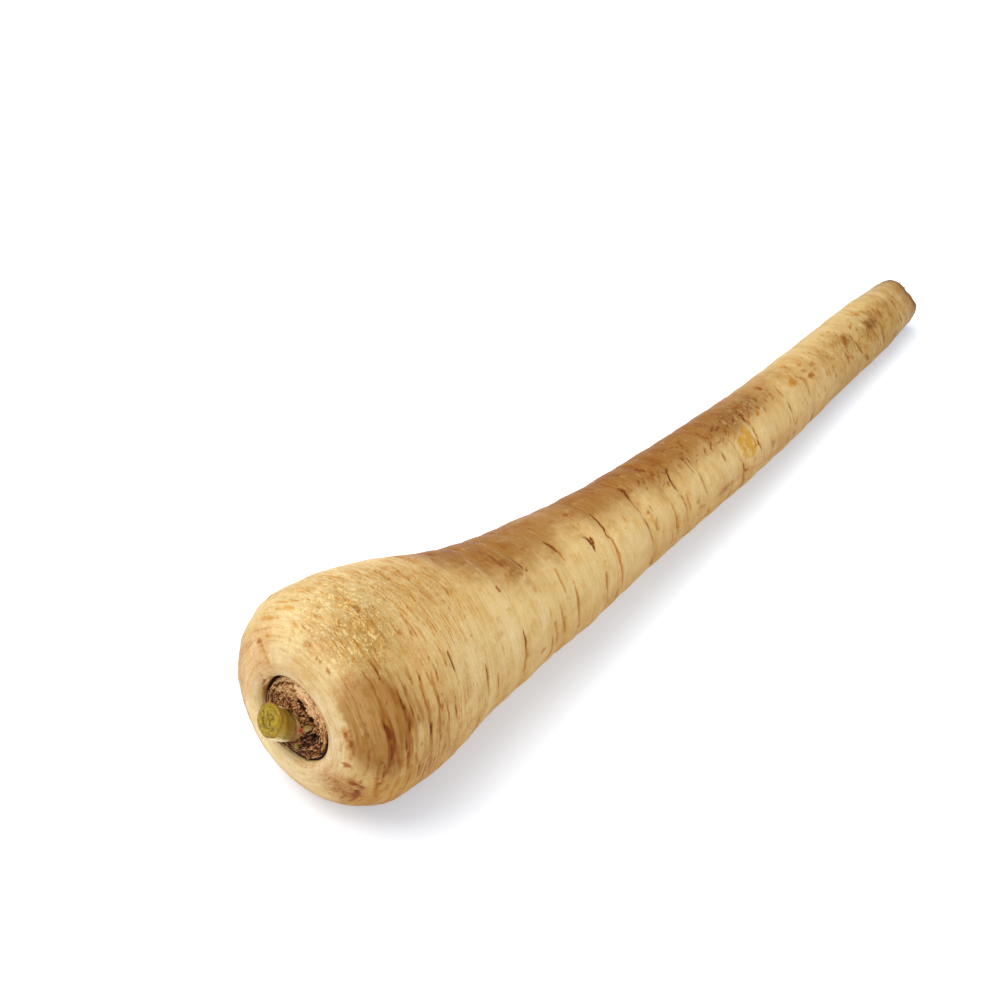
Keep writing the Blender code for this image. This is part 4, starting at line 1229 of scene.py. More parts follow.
def stalk_mesh():
    count = STALK_SEGMENTS
    shares = np.linspace(0.0, 1.0, STALK_STEPS + 1)
    wave = 2 * np.pi * np.arange(count) / count
    _, forward, front, upward = axis_frame(0.0)
    along, across, rise = CUT_FACING
    facing = unit(along * forward - across * front + rise * upward)
    rows = []
    for share in shares:
        ahead, side, up = stalk_frame(share)
        ribs = 0.05 * np.sin(9 * wave + 1.2 * math.sin(3 * share)) + 0.03 * np.sin(23 * wave)
        ribs += 0.10 * noise(3 * np.cos(wave), 3 * np.sin(wave), 4 * share, seed=51, octaves=2)
        fold = 0.16 * bump(share - 0.70, 0.05) * bump(np.degrees(wave) - 60, 100)
        edge = 0.12 * step_up(share, 0.95, 1.0)
        swell = 0.5 * (1 - step_up(share, 0.0, 0.35))
        oval = stalk_radius(share) * (1 + STALK_FLATTENING * np.cos(2 * wave))
        oval = oval + ribs - fold - edge + swell * 0.4
        arm = oval[:, None] * (np.cos(wave)[:, None] * side + np.sin(wave)[:, None] * up)
        slant = (arm @ facing)[:, None] / (ahead @ facing) * ahead * share ** 2
        rows.append(stalk_point(share) + arm - slant)
    side_rows, rim, centre = len(rows), rows[-1], stalk_point(1.0)
    right_way = unit(front - (front @ facing) * facing)
    up_way = np.cross(facing, right_way)
    if up_way @ upward < 0:
        up_way = -up_way
    near_rows = [np.zeros(count)] * side_rows
    inner = [np.stack([np.cos(wave), np.sin(wave)], -1)] * side_rows
    cut_shares = np.linspace(1.0, 0.0, FACE_STEPS + 1)[1:-1]
    for share in cut_shares:
        spot = centre + (rim - centre) * share
        right, rise = [(spot - centre) @ way / STALK_RADII[1] for way in (right_way, up_way)]
        depth, near = face_marks(right, rise)
        dome = CUT_DOME * (1 - share ** 4)
        swirl = 0.06 * noise(right * 5, rise * 5, 0.3, seed=53, octaves=3)
        rows.append(spot + facing * (dome - depth + swirl)[:, None])
        near_rows.append(near)
        inner.append(np.stack([right, rise], -1))
    points = np.concatenate(rows + [[centre + facing * CUT_DOME], [stalk_point(0.0)]])
    tip = len(rows) * count
    faces = grid_faces(len(rows), count).tolist()
    faces += fan(tip - count, count, tip) + fan(0, count, tip + 1, inward=True)
    # the last two values of each field are those of the cut's middle and of the stalk's foot
    on_sides, on_cut = side_rows * count, len(cut_shares) * count
    rise = np.concatenate([np.repeat(shares, count), np.ones(on_cut + 1), [0.0]])
    cut = np.concatenate([np.zeros(on_sides), np.ones(on_cut + 1), [0.0]])
    around = np.concatenate([np.tile(np.degrees(wave), len(rows)), [0.0, 0.0]])
    disc = np.concatenate(inner + [[[0.0, 0.0]], [[0.0, 0.0]]])
    long, wide = STALK_GRAIN
    grain = np.stack([rise * long, wide * np.cos(np.radians(around)), wide * np.sin(np.radians(around))], -1)
    grain[cut > 0.5] = np.column_stack([np.full(on_cut + 1, long), wide * disc[cut > 0.5]])
    near = np.concatenate(near_rows + [[0.0], [0.0]])
    from_middle = np.concatenate([np.ones(on_sides), np.repeat(cut_shares, count), [0.0, 1.0]])
    return points, faces, {"rise": rise, "cut": cut, "line": near, "rim": from_middle, "grain": grain,
                           "round": turn(around, PEELED[0])}


def bud_mesh(inner, outer, radius, seed):
    """A pointed, ribbed bud from its inner to its outer end."""
    start, end = on_root(*inner), on_root(*outer)
    along = unit(end - start)
    side = unit(np.cross(along, np.array([0.3, 0.2, 1.0])))
    over = np.cross(side, along)
    rows, columns = BUD_GRID
    wave = 2 * np.pi * np.arange(columns) / columns
    points, rise = [], []
    length = np.linalg.norm(end - start) + 0.6 * radius
    for i in range(rows):
        t = i / (rows - 1)
        width = radius * min(1.0, 1.15 * math.sqrt(max(1 - t ** 3, 0.0)))
        width *= BUD_NECK + (1 - BUD_NECK) * float(step_up(t, 0.42, 0.58))
        ribs = 1 + 0.07 * np.cos(5 * wave)
        ribs = ribs + 0.10 * noise(2 * np.cos(wave), 2 * np.sin(wave), 3 * t, seed=seed)
        points.append(start + along * length * t + (width * ribs)[:, None] * (
            np.cos(wave)[:, None] * side + np.sin(wave)[:, None] * over))
        rise.append(np.full(columns, t))
    tip = rows * columns
    points = np.concatenate(points + [[start + along * (length + 0.02)], [start]])
    faces = grid_faces(rows, columns).tolist()
    faces += fan(tip - columns, columns, tip) + fan(0, columns, tip + 1, inward=True)
    return points, faces, {"rise": np.concatenate(rise + [[1.0], [0.0]])}


def sheath_mesh():
    """The pale old sheath that clings to the stalk's upper back, as a thin closed shell."""
    rows = []
    shares = np.linspace(*SHEATH_REACH, SHEATH_GRID[0])
    for share in shares:
        _, side, up = stalk_frame(share)
        centre, radius = stalk_point(share), stalk_radius(share)
        fade = float(band(share, 0.0, 0.14, 0.66, 0.86))
        tooth = 0.5 + 0.5 * float(noise(share * 26, 0.3, 0.1, seed=61, octaves=2))
        height = 0.12 + (0.42 + 0.30 * tooth) * fade
        outer_line, inner_line = [], []
        for across in np.linspace(-1.0, 1.0, SHEATH_GRID[1]):
            wave = math.radians(SHEATH_ANGLE + SHEATH_HALF_ANGLE * across)
            arm = spoke(wave, side, up)
            outer_line.append(centre + arm * (radius + 0.02 + height * (1 - across * across) ** 0.6))
            inner_line.append(centre + arm * (radius - SHEATH_DEPTH))
        rows.append(outer_line + inner_line[::-1])
    rows = np.array(rows)
    count = rows.shape[1]
    faces = grid_faces(len(rows), count).tolist()
    last = (len(rows) - 1) * count
    faces += [list(range(count))[::-1], list(range(last, last + count))]
    return rows.reshape(-1, 3), faces, {"rise": np.repeat(0.25 + 0.75 * shares / shares[-1], count)}


# Root hairs ---------------------------------------------------------------------------------------
HAIR_POINTS, HAIR_SIDES = 9, 6
# Station and angle where each starts, length, and lean along the root.
HAIRS = [(248.6, 82, 1.2, 0.5), (248.2, 66, 0.9, 0.9), (247.6, 250, 2.0, 0.6)]


def hair_points(station, angle, length, lean, draw):
    """The middle line of one rootlet."""
    base = ring_point(np.array(station), np.array(angle), skin_radius(min(station, LENGTH)) - 0.3, 0.0)
    _, forward, front, up = axis_frame(station)
    wave = math.radians(angle)
    outward = spoke(wave, front, up)
    side = np.cross(forward, outward)
    line = []
    bend = draw.uniform(-0.5, 0.5)
    for i in range(HAIR_POINTS):
        t = i / (HAIR_POINTS - 1)
        line.append(base + outward * length * t * (1 - 0.35 * t) + forward * lean * length * t * t
                    + side * bend * length * t * t)
    return line


def hairs_mesh():
    draw = random.Random(33)
    verts, faces = [], []
    hairs = list(HAIRS)
    for station, _, _, _ in CREASES[2:]:
        if draw.random() < 0.7:
            hairs.append((station + draw.uniform(-0.5, 0.5), draw.uniform(155, 290), draw.uniform(1.2, 3.0),
                          draw.uniform(-0.2, 0.6)))
    sides, ends = HAIR_SIDES, HAIR_POINTS - 1
    for hair in hairs:
        line = hair_points(*hair, draw)
        thickness = draw.uniform(0.16, 0.26)
        first = len(verts)
        for i, point in enumerate(line):
            along = unit(line[min(i + 1, ends)] - line[max(i - 1, 0)])
            side = unit(np.cross(along, np.array([0.1, 0.3, 1.0])))
            over = np.cross(side, along)
            radius = thickness * (1 - 0.8 * i / ends)
            for k in range(sides):
                wave = 2 * math.pi * k / sides
                verts.append(point + radius * spoke(wave, side, over))
        last = first + ends * sides
        faces += grid_faces(HAIR_POINTS, sides, first).tolist()
        faces += [list(range(first, first + sides))[::-1], list(range(last, last + sides))]
    points = np.array(verts)
    points[:, 2] = np.maximum(points[:, 2], 0.05)
    return points, faces, {}


# Materials ----------------------------------------------------------------------------------------

def srgb(red, green, blue):
    """A colour given as it looks, 0 to 255, as the linear colour that a shader takes."""
    channels = [c / 255 for c in (red, green, blue)]
    return (*[c / 12.92 if c <= 0.04045 else ((c + 0.055) / 1.055) ** 2.4 for c in channels], 1.0)


class Finish:
    """A node material being put together; its colour builds up from one step to the next."""

    def __init__(self, name):
        self.material = bpy.data.materials.new(name)
        self.material.use_nodes = True
        self.tree = self.material.node_tree
        self.shader = self.tree.nodes["Principled BSDF"]
        self.colour = None

    def put(self, socket, value):
        if isinstance(value, bpy.types.NodeSocket):
            self.tree.links.new(value, socket)
        else:
            socket.default_value = value

    def node(self, kind, sockets=None, **settings):
        made = self.tree.nodes.new("ShaderNode" + kind)
        for key, value in settings.items():
            setattr(made, key, value)
        for key, value in (sockets or {}).items():
            self.put(made.inputs[key], value)
        return made

    def field(self, name):
        return self.node("Attribute", attribute_name=name).outputs["Fac"]

    def noise(self, along, around, shift=0.0, detail=2.0, roughness=0.55, distortion=0.0):
        """Noise in the skin's own coordinates: features are 1 / along mm long and 1 / around mm wide."""
        place = self.node("Attribute", attribute_name="grain").outputs["Vector"]
        grain = self.node("Mapping", {"Vector": place, "Scale": (along, around, around),
                                      "Location": (shift, 0.37 * shift, 0.0)}).outputs[0]
        return self.node("TexNoise", {"Vector": grain, "Scale": 1.0, "Detail": detail,
                                      "Roughness": roughness, "Distortion": distortion}).outputs[0]

    def spots(self, scale, detail=2.0):
        """Noise in metres, for pieces without coordinates of their own."""
        place = self.node("TexCoord").outputs["Object"]
        return self.node("TexNoise", {"Vector": place, "Scale": scale, "Detail": detail}).outputs[0]

    def ramp(self, value, low, high, bottom=0.0, top=1.0):
        return self.node("MapRange", {"Value": value, "From Min": low, "From Max": high, "To Min": bottom,
                                      "To Max": top}, interpolation_type="SMOOTHSTEP").outputs[0]

    def sum(self, operation, first, second=0.0):
        return self.node("Math", {0: first, 1: second}, operation=operation).outputs[0]

    def plus(self, first, second):
        return self.sum("ADD", first, second)

    def times(self, first, *others):
        for other in others:
            first = self.sum("MULTIPLY", first, other)
        return first

    def swing(self, noise, spread):
        """Noise moved to swing about 0."""
        return self.times(self.sum("SUBTRACT", noise, 0.5), spread)

    def vein(self, noise, half_width):
        """Thin lines where the noise passes through its middle."""
        return self.ramp(self.sum("ABSOLUTE", self.sum("SUBTRACT", noise, 0.5)), half_width, 0.0)

    def ragged(self, name, noise, spread, low, high):
        """A mark whose strength is broken up by noise."""
        field = self.field(name)
        return self.times(self.ramp(self.plus(field, self.swing(noise, spread)), low, high),
                          self.ramp(field, 0.0, 0.08))

    def mix(self, share, under, over):
        return self.node("Mix", {0: share, 6: under, 7: over}, data_type="RGBA").outputs[2]

    def tint(self, mask, strength, factors):
        """Multiplies the colour by the factors where the mask is full and the strength 1."""
        self.colour = self.node("Mix", {0: self.times(mask, strength), 6: self.colour, 7: (*factors, 1.0)},
                                data_type="RGBA", blend_type="MULTIPLY").outputs[2]

    def cover(self, share, *tone):
        self.colour = self.mix(share, self.colour, srgb(*tone))

    def stain(self, mask, strength, *tone):
        self.cover(self.times(mask, strength), *tone)

    def shades(self, value, stops):
        """A colour that follows value through the stops."""
        made = self.node("ValToRGB", {"Fac": value})
        elements = made.color_ramp.elements
        while len(elements) < len(stops):
            elements.new(0.5)
        for element, (position, _) in zip(elements, stops):
            element.position = position
        for element, (position, colour) in zip(elements, stops):
            element.position = position
            element.color = srgb(*colour)
        return made.outputs["Color"]

    def bump(self, height, distance, strength=1.0, under=None):
        sockets = {"Height": height, "Distance": distance * MM, "Strength": strength}
        if under is not None:
            sockets["Normal"] = under
        return self.node("Bump", sockets).outputs[0]

    def finish(self, roughness, normal=None, **uniform):
        """The finished material; what is the same all over is set on the shader's own sockets."""
        self.put(self.shader.inputs["Base Color"], self.colour)
        self.put(self.shader.inputs["Roughness"], roughness)
        if normal is not None:
            self.put(self.shader.inputs["Normal"], normal)
        for key, value in uniform.items():
            self.shader.inputs[key.replace("_", " ")].default_value = value
        return self.material


# Plain skin by place along the profile in mm, then the buds and the sheath by share of their length.
SKIN_TONES = [(-3, (213, 186, 140)), (1, (218, 191, 145)), (2.5, (223, 196, 142)), (6, (226, 198, 138)),
              (14, (226, 196, 130)), (25, (226, 193, 129)), (37, (230, 198, 136)), (70, (229, 197, 134)),
              (92, (231, 199, 137)), (115, (225, 191, 127)), (143, (228, 196, 135)), (165, (226, 192, 130)),
              (190, (219, 184, 121)), (207, (212, 177, 113)), (229, (208, 174, 107)),
              (LENGTH, (188, 148, 88))]
BUD_TONES = [(0.0, (120, 50, 34)), (0.12, (172, 28, 24)), (0.42, (166, 30, 26)), (0.50, (112, 88, 36)),
             (0.75, (150, 128, 54)), (1.0, (128, 100, 48))]
SHEATH_TONES = [(0.0, (120, 84, 50)), (0.5, (198, 160, 112)), (0.8, (240, 214, 168)),
                (1.0, (248, 230, 190))]
# What the marks multiply the skin's colour by.
AMBER_TINT = (0.86, 0.60, 0.26)
STREAK_TINT = (0.70, 0.43, 0.18)
RUST_TINT = (0.60, 0.29, 0.10)
CRACK_TINT = (0.25, 0.10, 0.05)
OCHRE_TINT = (0.66, 0.50, 0.19)
TAN_TINT = (0.47, 0.27, 0.08)
# painted shade, with a warm painted reflection, along the top of the body
TOP_SHADE_TINT = (0.38, 0.185, 0.0)
# painted shade on the underside
UNDERSIDE_SHADE_TINT = (0.60, 0.43, 0.17)
PINK_TINT = (0.82, 0.60, 0.48)
BRUISE_TINT = (0.56, 0.34, 0.11)


def skin_material():
    f = Finish("parsnip_skin")
    place = f.field("place")
    first, last = SKIN_TONES[0][0], SKIN_TONES[-1][0]
    share = f.sum("DIVIDE", f.sum("SUBTRACT", place, float(first)), float(last - first))
    f.colour = f.shades(share, [((s - first) / (last - first), tone) for s, tone in SKIN_TONES])
    bands = f.noise(0.30, 0.035, 3.0, 3.0)
    lines = f.noise(1.9, 0.10, 9.0)
    rings = f.noise(0.8, 0.045, 71.0, 3.0, 0.6)
    mottle = f.noise(0.24, 0.20, 5.0, 4.0, 0.6)
    blotch = f.noise(0.55, 0.40, 61.0, 4.0, 0.6)
    fine = f.noise(2.3, 1.5, 7.0, 3.0, 0.65)
    broken = f.noise(1.4, 0.45, 33.0, 3.0, 0.6)
    speck = f.noise(1.6, 1.3, 21.0, 3.0, 0.65)
    furrow = f.noise(0.60, 0.035, 81.0, 3.0, 0.6)
    thin = f.noise(1.35, 0.07, 91.0)
    wavy = f.noise(0.62, 0.26, 15.0, 4.0, 0.60, 0.7)
    small = f.noise(1.15, 0.50, 27.0, 3.0, 0.60, 0.5)
    stretch = f.noise(0.30, 0.30, 41.0)

    # plain skin: bands, mottling and fine lines that ring the root, stronger on the head
    lively = f.ramp(place, 50.0, 36.0, bottom=0.55)
    f.tint(f.times(f.ramp(bands, 0.46, 0.72), lively), 0.60, (0.88, 0.74, 0.48))
    f.tint(f.ramp(mottle, 0.48, 0.72), 0.55, (0.87, 0.70, 0.40))
    f.tint(f.ramp(blotch, 0.54, 0.74), 0.45, (0.84, 0.65, 0.38))
    f.stain(f.ramp(bands, 0.50, 0.28), 0.26, 246, 222, 174)
    f.stain(f.ramp(blotch, 0.45, 0.27), 0.28, 248, 226, 178)
    f.tint(f.times(f.vein(rings, 0.022), f.ramp(mottle, 0.36, 0.60), lively), 0.55, (0.74, 0.52, 0.26))
    f.tint(f.times(f.ramp(lines, 0.54, 0.70), lively), 0.55, (0.74, 0.52, 0.26))
    f.stain(f.times(f.ramp(lines, 0.42, 0.28), lively), 0.22, 248, 228, 182)
    f.tint(f.times(f.ramp(fine, 0.52, 0.74), lively), 0.58, (0.76, 0.58, 0.34))
    # painted highlight along the top of the thin end and the shoulder, and painted light on the lower lip
    f.stain(f.field("painted_light"), 0.34, 250, 228, 172)
    # flat tints: painted shade on the underside, ochre, painted shade with a warm painted reflection along
    # the top, tan beside the crown
    f.tint(f.field("under"), f.ramp(bands, 0.25, 0.70, bottom=0.80), UNDERSIDE_SHADE_TINT)
    f.tint(f.times(f.field(OCHRE), f.ramp(blotch, 0.30, 0.62, bottom=0.55)), 0.95, OCHRE_TINT)
    # the field stain: painted shade with a warm painted reflection along the top, broken up by streaks and
    # blotches
    streaky = f.ramp(lines, 0.66, 0.40, bottom=0.86)
    f.tint(f.times(f.field("stain"), f.ramp(blotch, 0.24, 0.50, bottom=0.82), streaky), 1.0, TOP_SHADE_TINT)
    f.tint(f.times(f.field("stain"), f.ramp(mottle, 0.50, 0.70)), 0.40, (0.84, 0.62, 0.45))
    tan = f.times(f.ragged(TAN, broken, 0.30, 0.0, 0.85), f.ramp(bands, 0.35, 0.60, bottom=0.80))
    f.tint(tan, 0.95, TAN_TINT)
    # a wrinkled net of lines
    net = f.field(NET)
    veined = f.times(net, f.sum("MAXIMUM", f.vein(wavy, 0.060), f.times(f.vein(small, 0.055), 0.8)))
    f.tint(f.times(net, f.ramp(wavy, 0.49, 0.66)), 0.45, (0.90, 0.72, 0.36))
    f.stain(f.times(net, f.ramp(small, 0.46, 0.30)), 0.42, 250, 226, 166)
    f.tint(f.times(veined, f.ramp(mottle, 0.32, 0.56, bottom=0.45)), 0.80, (0.76, 0.52, 0.20))
    # pink and brown stains, broken into specks
    f.tint(f.times(f.field(PINK), f.ramp(speck, 0.30, 0.62, bottom=0.25)), 0.80, PINK_TINT)
    f.tint(f.times(f.field(BRUISE), f.ramp(speck, 0.26, 0.58, bottom=0.2)), 0.85, BRUISE_TINT)
    # yellow scars with a pale border
    scar = f.field(SCAR)
    core = f.ramp(f.plus(f.plus(scar, f.swing(blotch, 2.2)), f.swing(speck, 1.6)), 0.45, 0.85)
    f.stain(f.times(f.ramp(scar, 0.0, 0.22), f.ramp(scar, 0.50, 0.22)), 0.2, 230, 196, 136)
    f.stain(core, 0.85, 208, 152, 50)
    f.stain(f.times(core, f.ramp(blotch, 0.52, 0.36)), 0.8, 228, 186, 100)
    f.stain(f.times(core, f.ramp(broken, 0.54, 0.66)), 0.6, 184, 116, 38)
    # furrows that ring the head, in the tan beside the crown and on the folds above it
    worn_in = f.ramp(f.field(TAN), 0.10, 0.55)
    f.tint(f.times(worn_in, f.ramp(furrow, 0.52, 0.66)), 0.70, (0.66, 0.42, 0.20))
    f.tint(f.times(worn_in, f.ramp(thin, 0.55, 0.68)), 0.65, (0.66, 0.42, 0.20))
    f.stain(f.times(worn_in, f.ramp(furrow, 0.46, 0.34)), 0.22, 230, 188, 126)
    fold = f.vein(f.noise(0.42, 0.055, 97.0, 3.0, distortion=0.4), 0.035)
    f.tint(f.times(net, fold, f.ramp(mottle, 0.40, 0.55, bottom=0.3)), 0.85, (0.78, 0.50, 0.20))
    f.tint(f.times(net, f.ramp(thin, 0.56, 0.68)), 0.55, (0.80, 0.56, 0.26))
    # lines: pale ridges, amber and brown streaks, rust
    f.stain(f.ragged(PALE, broken, 0.5, 0.10, 0.9), 0.22, 246, 220, 170)
    f.tint(f.ragged(AMBER, lines, 0.5, 0.0, 0.95), 1.0, AMBER_TINT)
    f.tint(f.ragged(STREAK, lines, 0.5, 0.0, 1.0), 0.90, STREAK_TINT)
    f.tint(f.ragged(RUST, broken, 0.5, 0.05, 0.85), 0.92, RUST_TINT)
    # cracks: a brown line, dark only in stretches
    f.tint(f.ragged(CRACK, broken, 0.6, 0.05, 0.50), 0.85, (0.58, 0.33, 0.14))
    dark = f.times(f.ragged(CRACK, speck, 0.6, 0.30, 0.85), f.ramp(stretch, 0.44, 0.58, bottom=0.25))
    f.tint(dark, 0.95, CRACK_TINT)
    # worn end with its brown rim, and painted shade that darkens the inside of the hollow
    f.stain(f.times(f.field(WEAR), f.ramp(speck, 0.30, 0.60, bottom=0.55)), 0.78, 150, 106, 62)
    f.stain(f.field("rim"), 0.80, 104, 62, 34)
    inner = f.plus(place, f.swing(speck, 0.5))
    f.stain(f.ramp(inner, CREST - LIP_ARC + 0.15, CREST - LIP_ARC - 0.25), 0.8, 150, 104, 62)
    f.stain(f.ramp(inner, CREST - LIP_ARC - 0.20, CREST - LIP_ARC - 0.65), 1.0, 88, 48, 26)
    wrinkles = f.bump(f.noise(1.7, 0.16, 51.0, 4.0, 0.6), 0.30, 0.6)
    pores = f.bump(fine, 0.22, 0.5, under=f.bump(veined, 0.32, 0.7, under=wrinkles))
    return f.finish(f.ramp(fine, 0.3, 0.7, bottom=0.44, top=0.62), pores, Subsurface_Weight=0.08,
                    Subsurface_Scale=0.0012, Subsurface_Radius=(1.0, 0.55, 0.25), Specular_IOR_Level=0.13,
                    Specular_Tint=(1.0, 0.86, 0.62, 1.0))


def cork_material():
    f = Finish("crown_cork")
    grit = f.noise(3.2, 3.2, 2.0, 4.0, 0.72)
    fibres = f.noise(4.2, 1.1, 12.0, 3.0, 0.65)
    value = f.plus(f.plus(f.field("tone"), f.swing(grit, 0.75)), f.swing(fibres, 0.55))
    cork = f.shades(value, [(0.0, (28, 12, 8)), (0.20, (70, 34, 18)), (0.40, (130, 78, 42)),
                            (0.60, (182, 122, 70)), (0.80, (226, 172, 110)), (1.0, (248, 212, 156))])
    pinkish = f.shades(value, [(0.2, (126, 74, 48)), (0.5, (204, 150, 108)), (0.8, (238, 190, 144))])
    f.colour = f.mix(f.times(f.field("plate"), 0.8), cork, pinkish)
    normal = f.bump(grit, 0.22, 0.8, under=f.bump(fibres, 0.22, 0.8))
    return f.finish(0.82, normal, Specular_IOR_Level=0.2)


def flake_material():
    f = Finish("cork_flakes")
    spots = f.spots(900.0)
    value = f.plus(f.times(f.field("tone"), 0.75), f.times(spots, 0.45))
    f.colour = f.shades(value, [(0.15, (104, 58, 30)), (0.40, (176, 118, 70)), (0.70, (228, 176, 116)),
                                (1.0, (252, 220, 164))])
    return f.finish(0.75, f.bump(spots, 0.08, 0.5), Specular_IOR_Level=0.25)


def stalk_material():
    f = Finish("leaf_stalk_rind")
    rise = f.field("rise")
    bands = f.noise(1.1, 0.10, 2.0, 3.0)
    lengthwise = f.noise(0.22, 1.3, 18.0, 3.0)
    patchy = f.noise(0.9, 0.9, 8.0, 3.0)
    # the darker stop at 0.40 is a painted shadow band round the stalk's side, partway down towards its foot
    f.colour = f.shades(rise, [(0.0, (184, 134, 88)), (0.22, (178, 130, 80)), (0.40, (136, 98, 54)),
                               (0.58, (158, 124, 52)), (0.78, (170, 138, 50)), (0.93, (178, 142, 48)),
                               (0.985, (172, 126, 46)), (1.0, (122, 82, 34))])
    f.cover(f.ramp(bands, 0.46, 0.64, top=0.50), 122, 92, 38)
    f.cover(f.ramp(bands, 0.48, 0.32, top=0.40), 206, 178, 92)
    f.cover(f.ramp(lengthwise, 0.52, 0.72, top=0.30), 112, 80, 34)
    peeled = f.plus(f.sum("ABSOLUTE", f.field("round")), f.times(patchy, 14.0))
    peeled = f.times(f.ramp(peeled, PEELED[1] + 4, PEELED[1] - 8),
                     f.times(f.ramp(rise, 0.42, 0.56), f.ramp(rise, 0.985, 0.93)))
    f.stain(peeled, 0.85, 224, 202, 152)
    side = f.colour
    f.colour = f.shades(patchy, [(0.25, (120, 92, 20)), (0.45, (152, 122, 24)), (0.60, (176, 148, 34)),
                                 (0.78, (140, 108, 24))])
    rings = f.noise(0.8, 0.55, 14.0, 3.0, distortion=1.8)
    f.cover(f.ramp(rings, 0.50, 0.66, top=0.45), 102, 76, 20)
    f.cover(f.ramp(rings, 0.45, 0.30, top=0.40), 196, 170, 62)
    f.stain(f.ramp(f.field("line"), 0.15, 0.85), f.ramp(lengthwise, 0.35, 0.60, bottom=0.4), 94, 68, 22)
    f.cover(f.ramp(f.field("rim"), 0.90, 0.99, top=0.75), 132, 86, 36)
    f.colour = f.mix(f.field("cut"), side, f.colour)
    normal = f.bump(lengthwise, 0.14, 0.5, under=f.bump(patchy, 0.14, 0.6))
    return f.finish(f.ramp(patchy, 0.3, 0.7, bottom=0.34, top=0.52), normal, Subsurface_Weight=0.12,
                    Subsurface_Scale=0.0015, Subsurface_Radius=(0.8, 1.0, 0.3), Specular_IOR_Level=0.32,
                    Specular_Tint=(1.0, 0.95, 0.6, 1.0))


def plain_organic(name, stops, scale, roughness):
    """A finish that runs through the stops along a piece, broken up by fine noise."""
    f = Finish(name)
    spots = f.spots(scale, 3.0)
    f.colour = f.shades(f.plus(f.field("rise"), f.swing(spots, 0.7)), stops)
    return f.finish(roughness, f.bump(spots, 0.12, 0.6), Specular_IOR_Level=0.3)


def hair_material():
    f = Finish("root_hair")
    spots = f.spots(700.0)
    f.colour = f.mix(spots, srgb(196, 164, 118), srgb(130, 96, 62))
    return f.finish(0.7, f.bump(spots, 0.05, 0.5))


# The floor's glow: the distances in metres between which it turns white, its colour nearer, its strength.
GLOW_REACH = (0.30, 0.80)
GLOW_NEAR = (0.79, 1.0, 1.20)
GLOW_STRENGTH = 0.32


def floor_material():
    """White paper with painted light: it glows a little, which lightens the shadows on it, bluer beside the
    root to cancel the warm light bounced off the root, and white further off.
    """
    f = Finish("floor_paper")
    f.colour = f.mix(f.spots(400.0), srgb(250, 250, 251), srgb(252, 252, 253))
    place = f.node("TexCoord").outputs["Object"]
    away = f.node("VectorMath", {0: place}, operation="LENGTH").outputs["Value"]
    glow = f.mix(f.ramp(away, *GLOW_REACH), (*GLOW_NEAR, 1.0), (1.0, 1.0, 1.0, 1.0))
    f.put(f.shader.inputs["Emission Color"], glow)
    return f.finish(0.9, Specular_IOR_Level=0.1, Emission_Strength=GLOW_STRENGTH)


# The parsnip --------------------------------------------------------------------------------------

def build():
    make_piece("skin", skin_mesh(), skin_material(), ["root"])
    make_piece("crown_cork", crown_mesh(), cork_material(), ["crown"])
    make_piece("crown_flakes", flakes_mesh(), flake_material(), ["crown"])
    make_piece("stalk", stalk_mesh(), stalk_material(), ["leaf_stalk"], smooth_angle=50)
    bud = plain_organic("bud_green", BUD_TONES, 700.0, 0.55)
    for index, (name, form) in enumerate(BUDS.items()):
        make_piece(name, bud_mesh(*form, 70 + index), bud, ["leaf_stalk"])
    make_piece("sheath", sheath_mesh(), plain_organic("sheath_pale", SHEATH_TONES, 900.0, 0.6),
               ["crown"], smooth_angle=50)
    make_piece("root_hairs", hairs_mesh(), hair_material(), ["root"])


# Floor, light and camera --------------------------------------------------------------------------

# In metres and degrees, apart from the camera's target, in mm along the axis's coordinates.
FLOOR_SIZE = 14.0
FLOOR_DROP = -2e-4              # keeps the floor clear of the parsnip's flats
LIGHT_DISTANCE = 1.1
SKY_TINT = (0.975, 0.99, 1.02, 1.0)
SKY_LEVEL = {"From Min": 0.05, "From Max": 0.8, "To Min": 0.66, "To Max": 0.58}     # by height of the view
CAMERA_AZIMUTH = -49.92
CAMERA_ELEVATION = 40.0
CAMERA_DISTANCE = 0.5995
CAMERA_TARGET = (101.3, 23.7, 14.25)


def looking(place, back):
    """A matrix that puts a light or a camera at a place, with its back turned to a direction."""
    return Matrix.Translation(place) @ back.to_track_quat("Z", "Y").to_matrix().to_4x4()


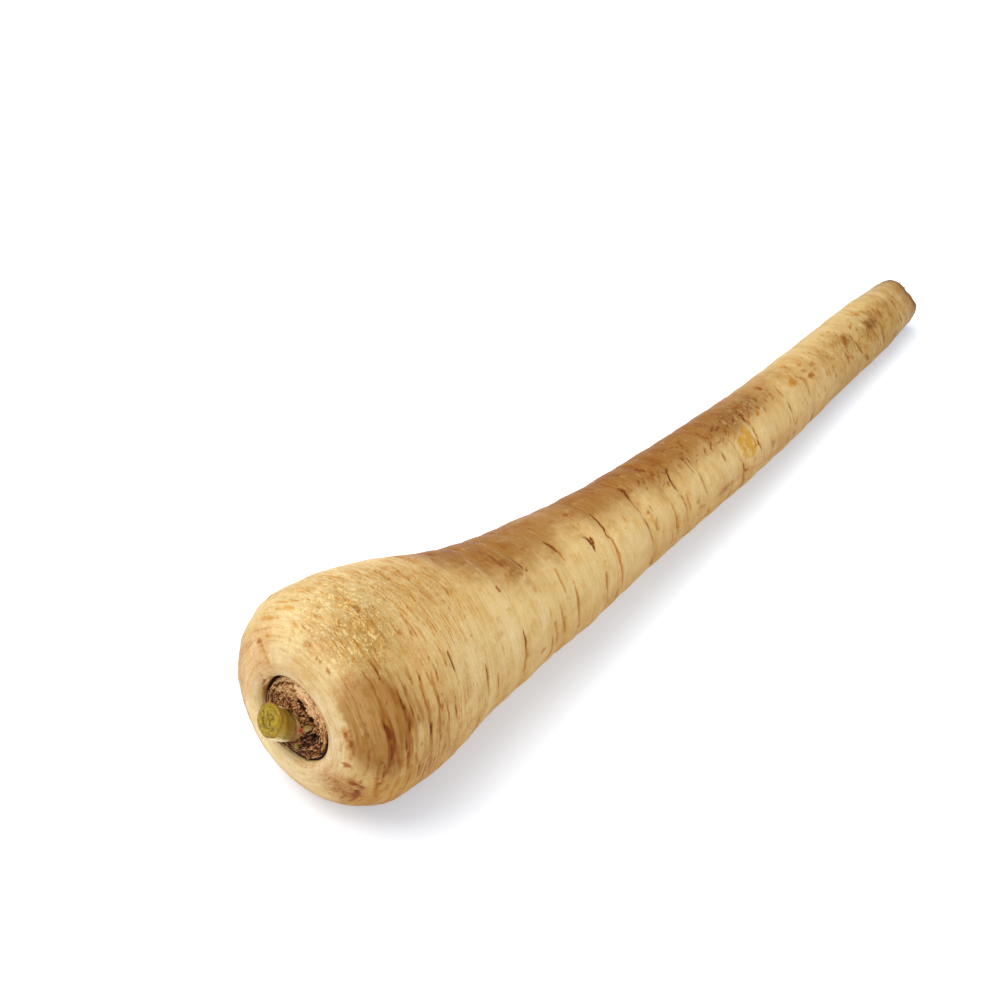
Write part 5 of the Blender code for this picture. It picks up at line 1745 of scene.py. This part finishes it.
def area_light(name, aim, direction, size, power, tint=(1.0, 1.0, 1.0)):
    light = bpy.data.lights.new(name, "AREA")
    light.shape = "RECTANGLE"
    light.size, light.size_y = size
    light.energy = power
    light.color = tint
    way = Vector(direction).normalized()
    add_object(name, light).matrix_world = looking(aim + way * LIGHT_DISTANCE, way)


def stage():
    data = bpy.data.meshes.new("floor")
    corners = [(x * FLOOR_SIZE, y * FLOOR_SIZE, FLOOR_DROP) for x, y in ((-1, -1), (1, -1), (1, 1), (-1, 1))]
    data.from_pydata(corners, [], [range(4)])
    floor = add_object("floor", data)
    data.materials.append(floor_material())

    scene = bpy.context.scene
    scene.view_settings.view_transform = "Standard"
    world = bpy.data.worlds.new("studio")
    scene.world = world
    world.use_nodes = True
    nodes, links = world.node_tree.nodes, world.node_tree.links
    background = nodes["Background"]
    background.inputs["Color"].default_value = SKY_TINT
    way = nodes.new("ShaderNodeTexCoord")
    split = nodes.new("ShaderNodeSeparateXYZ")
    links.new(way.outputs["Generated"], split.inputs[0])
    level = nodes.new("ShaderNodeMapRange")
    level.interpolation_type = "SMOOTHSTEP"
    for key, value in SKY_LEVEL.items():
        level.inputs[key].default_value = value
    links.new(split.outputs["Z"], level.inputs["Value"])
    links.new(level.outputs[0], background.inputs["Strength"])

    middle = (cad_box[0] + cad_box[1]) / 2
    area_light("key", middle, (-0.28, 0.28, 1.0), (1.1, 1.1), 10.2, (1.0, 0.99, 0.965))
    area_light("fill", middle, (-1.0, -0.15, 0.5), (0.9, 0.7), 0.3)

    camera = bpy.data.cameras.new("camera")
    camera.lens = 85.0
    camera.sensor_width = 36.0
    camera.clip_start = 0.01
    camera.clip_end = 20.0
    azimuth, elevation = math.radians(CAMERA_AZIMUTH), math.radians(CAMERA_ELEVATION)
    back = Vector((math.sin(azimuth) * math.cos(elevation), -math.cos(azimuth) * math.cos(elevation),
                   math.sin(elevation)))
    target = Vector((np.array(CAMERA_TARGET) + OFFSET) * MM)
    scene.camera = add_object("camera", camera)
    scene.camera.matrix_world = looking(target + back * CAMERA_DISTANCE, back)


build()
stage()
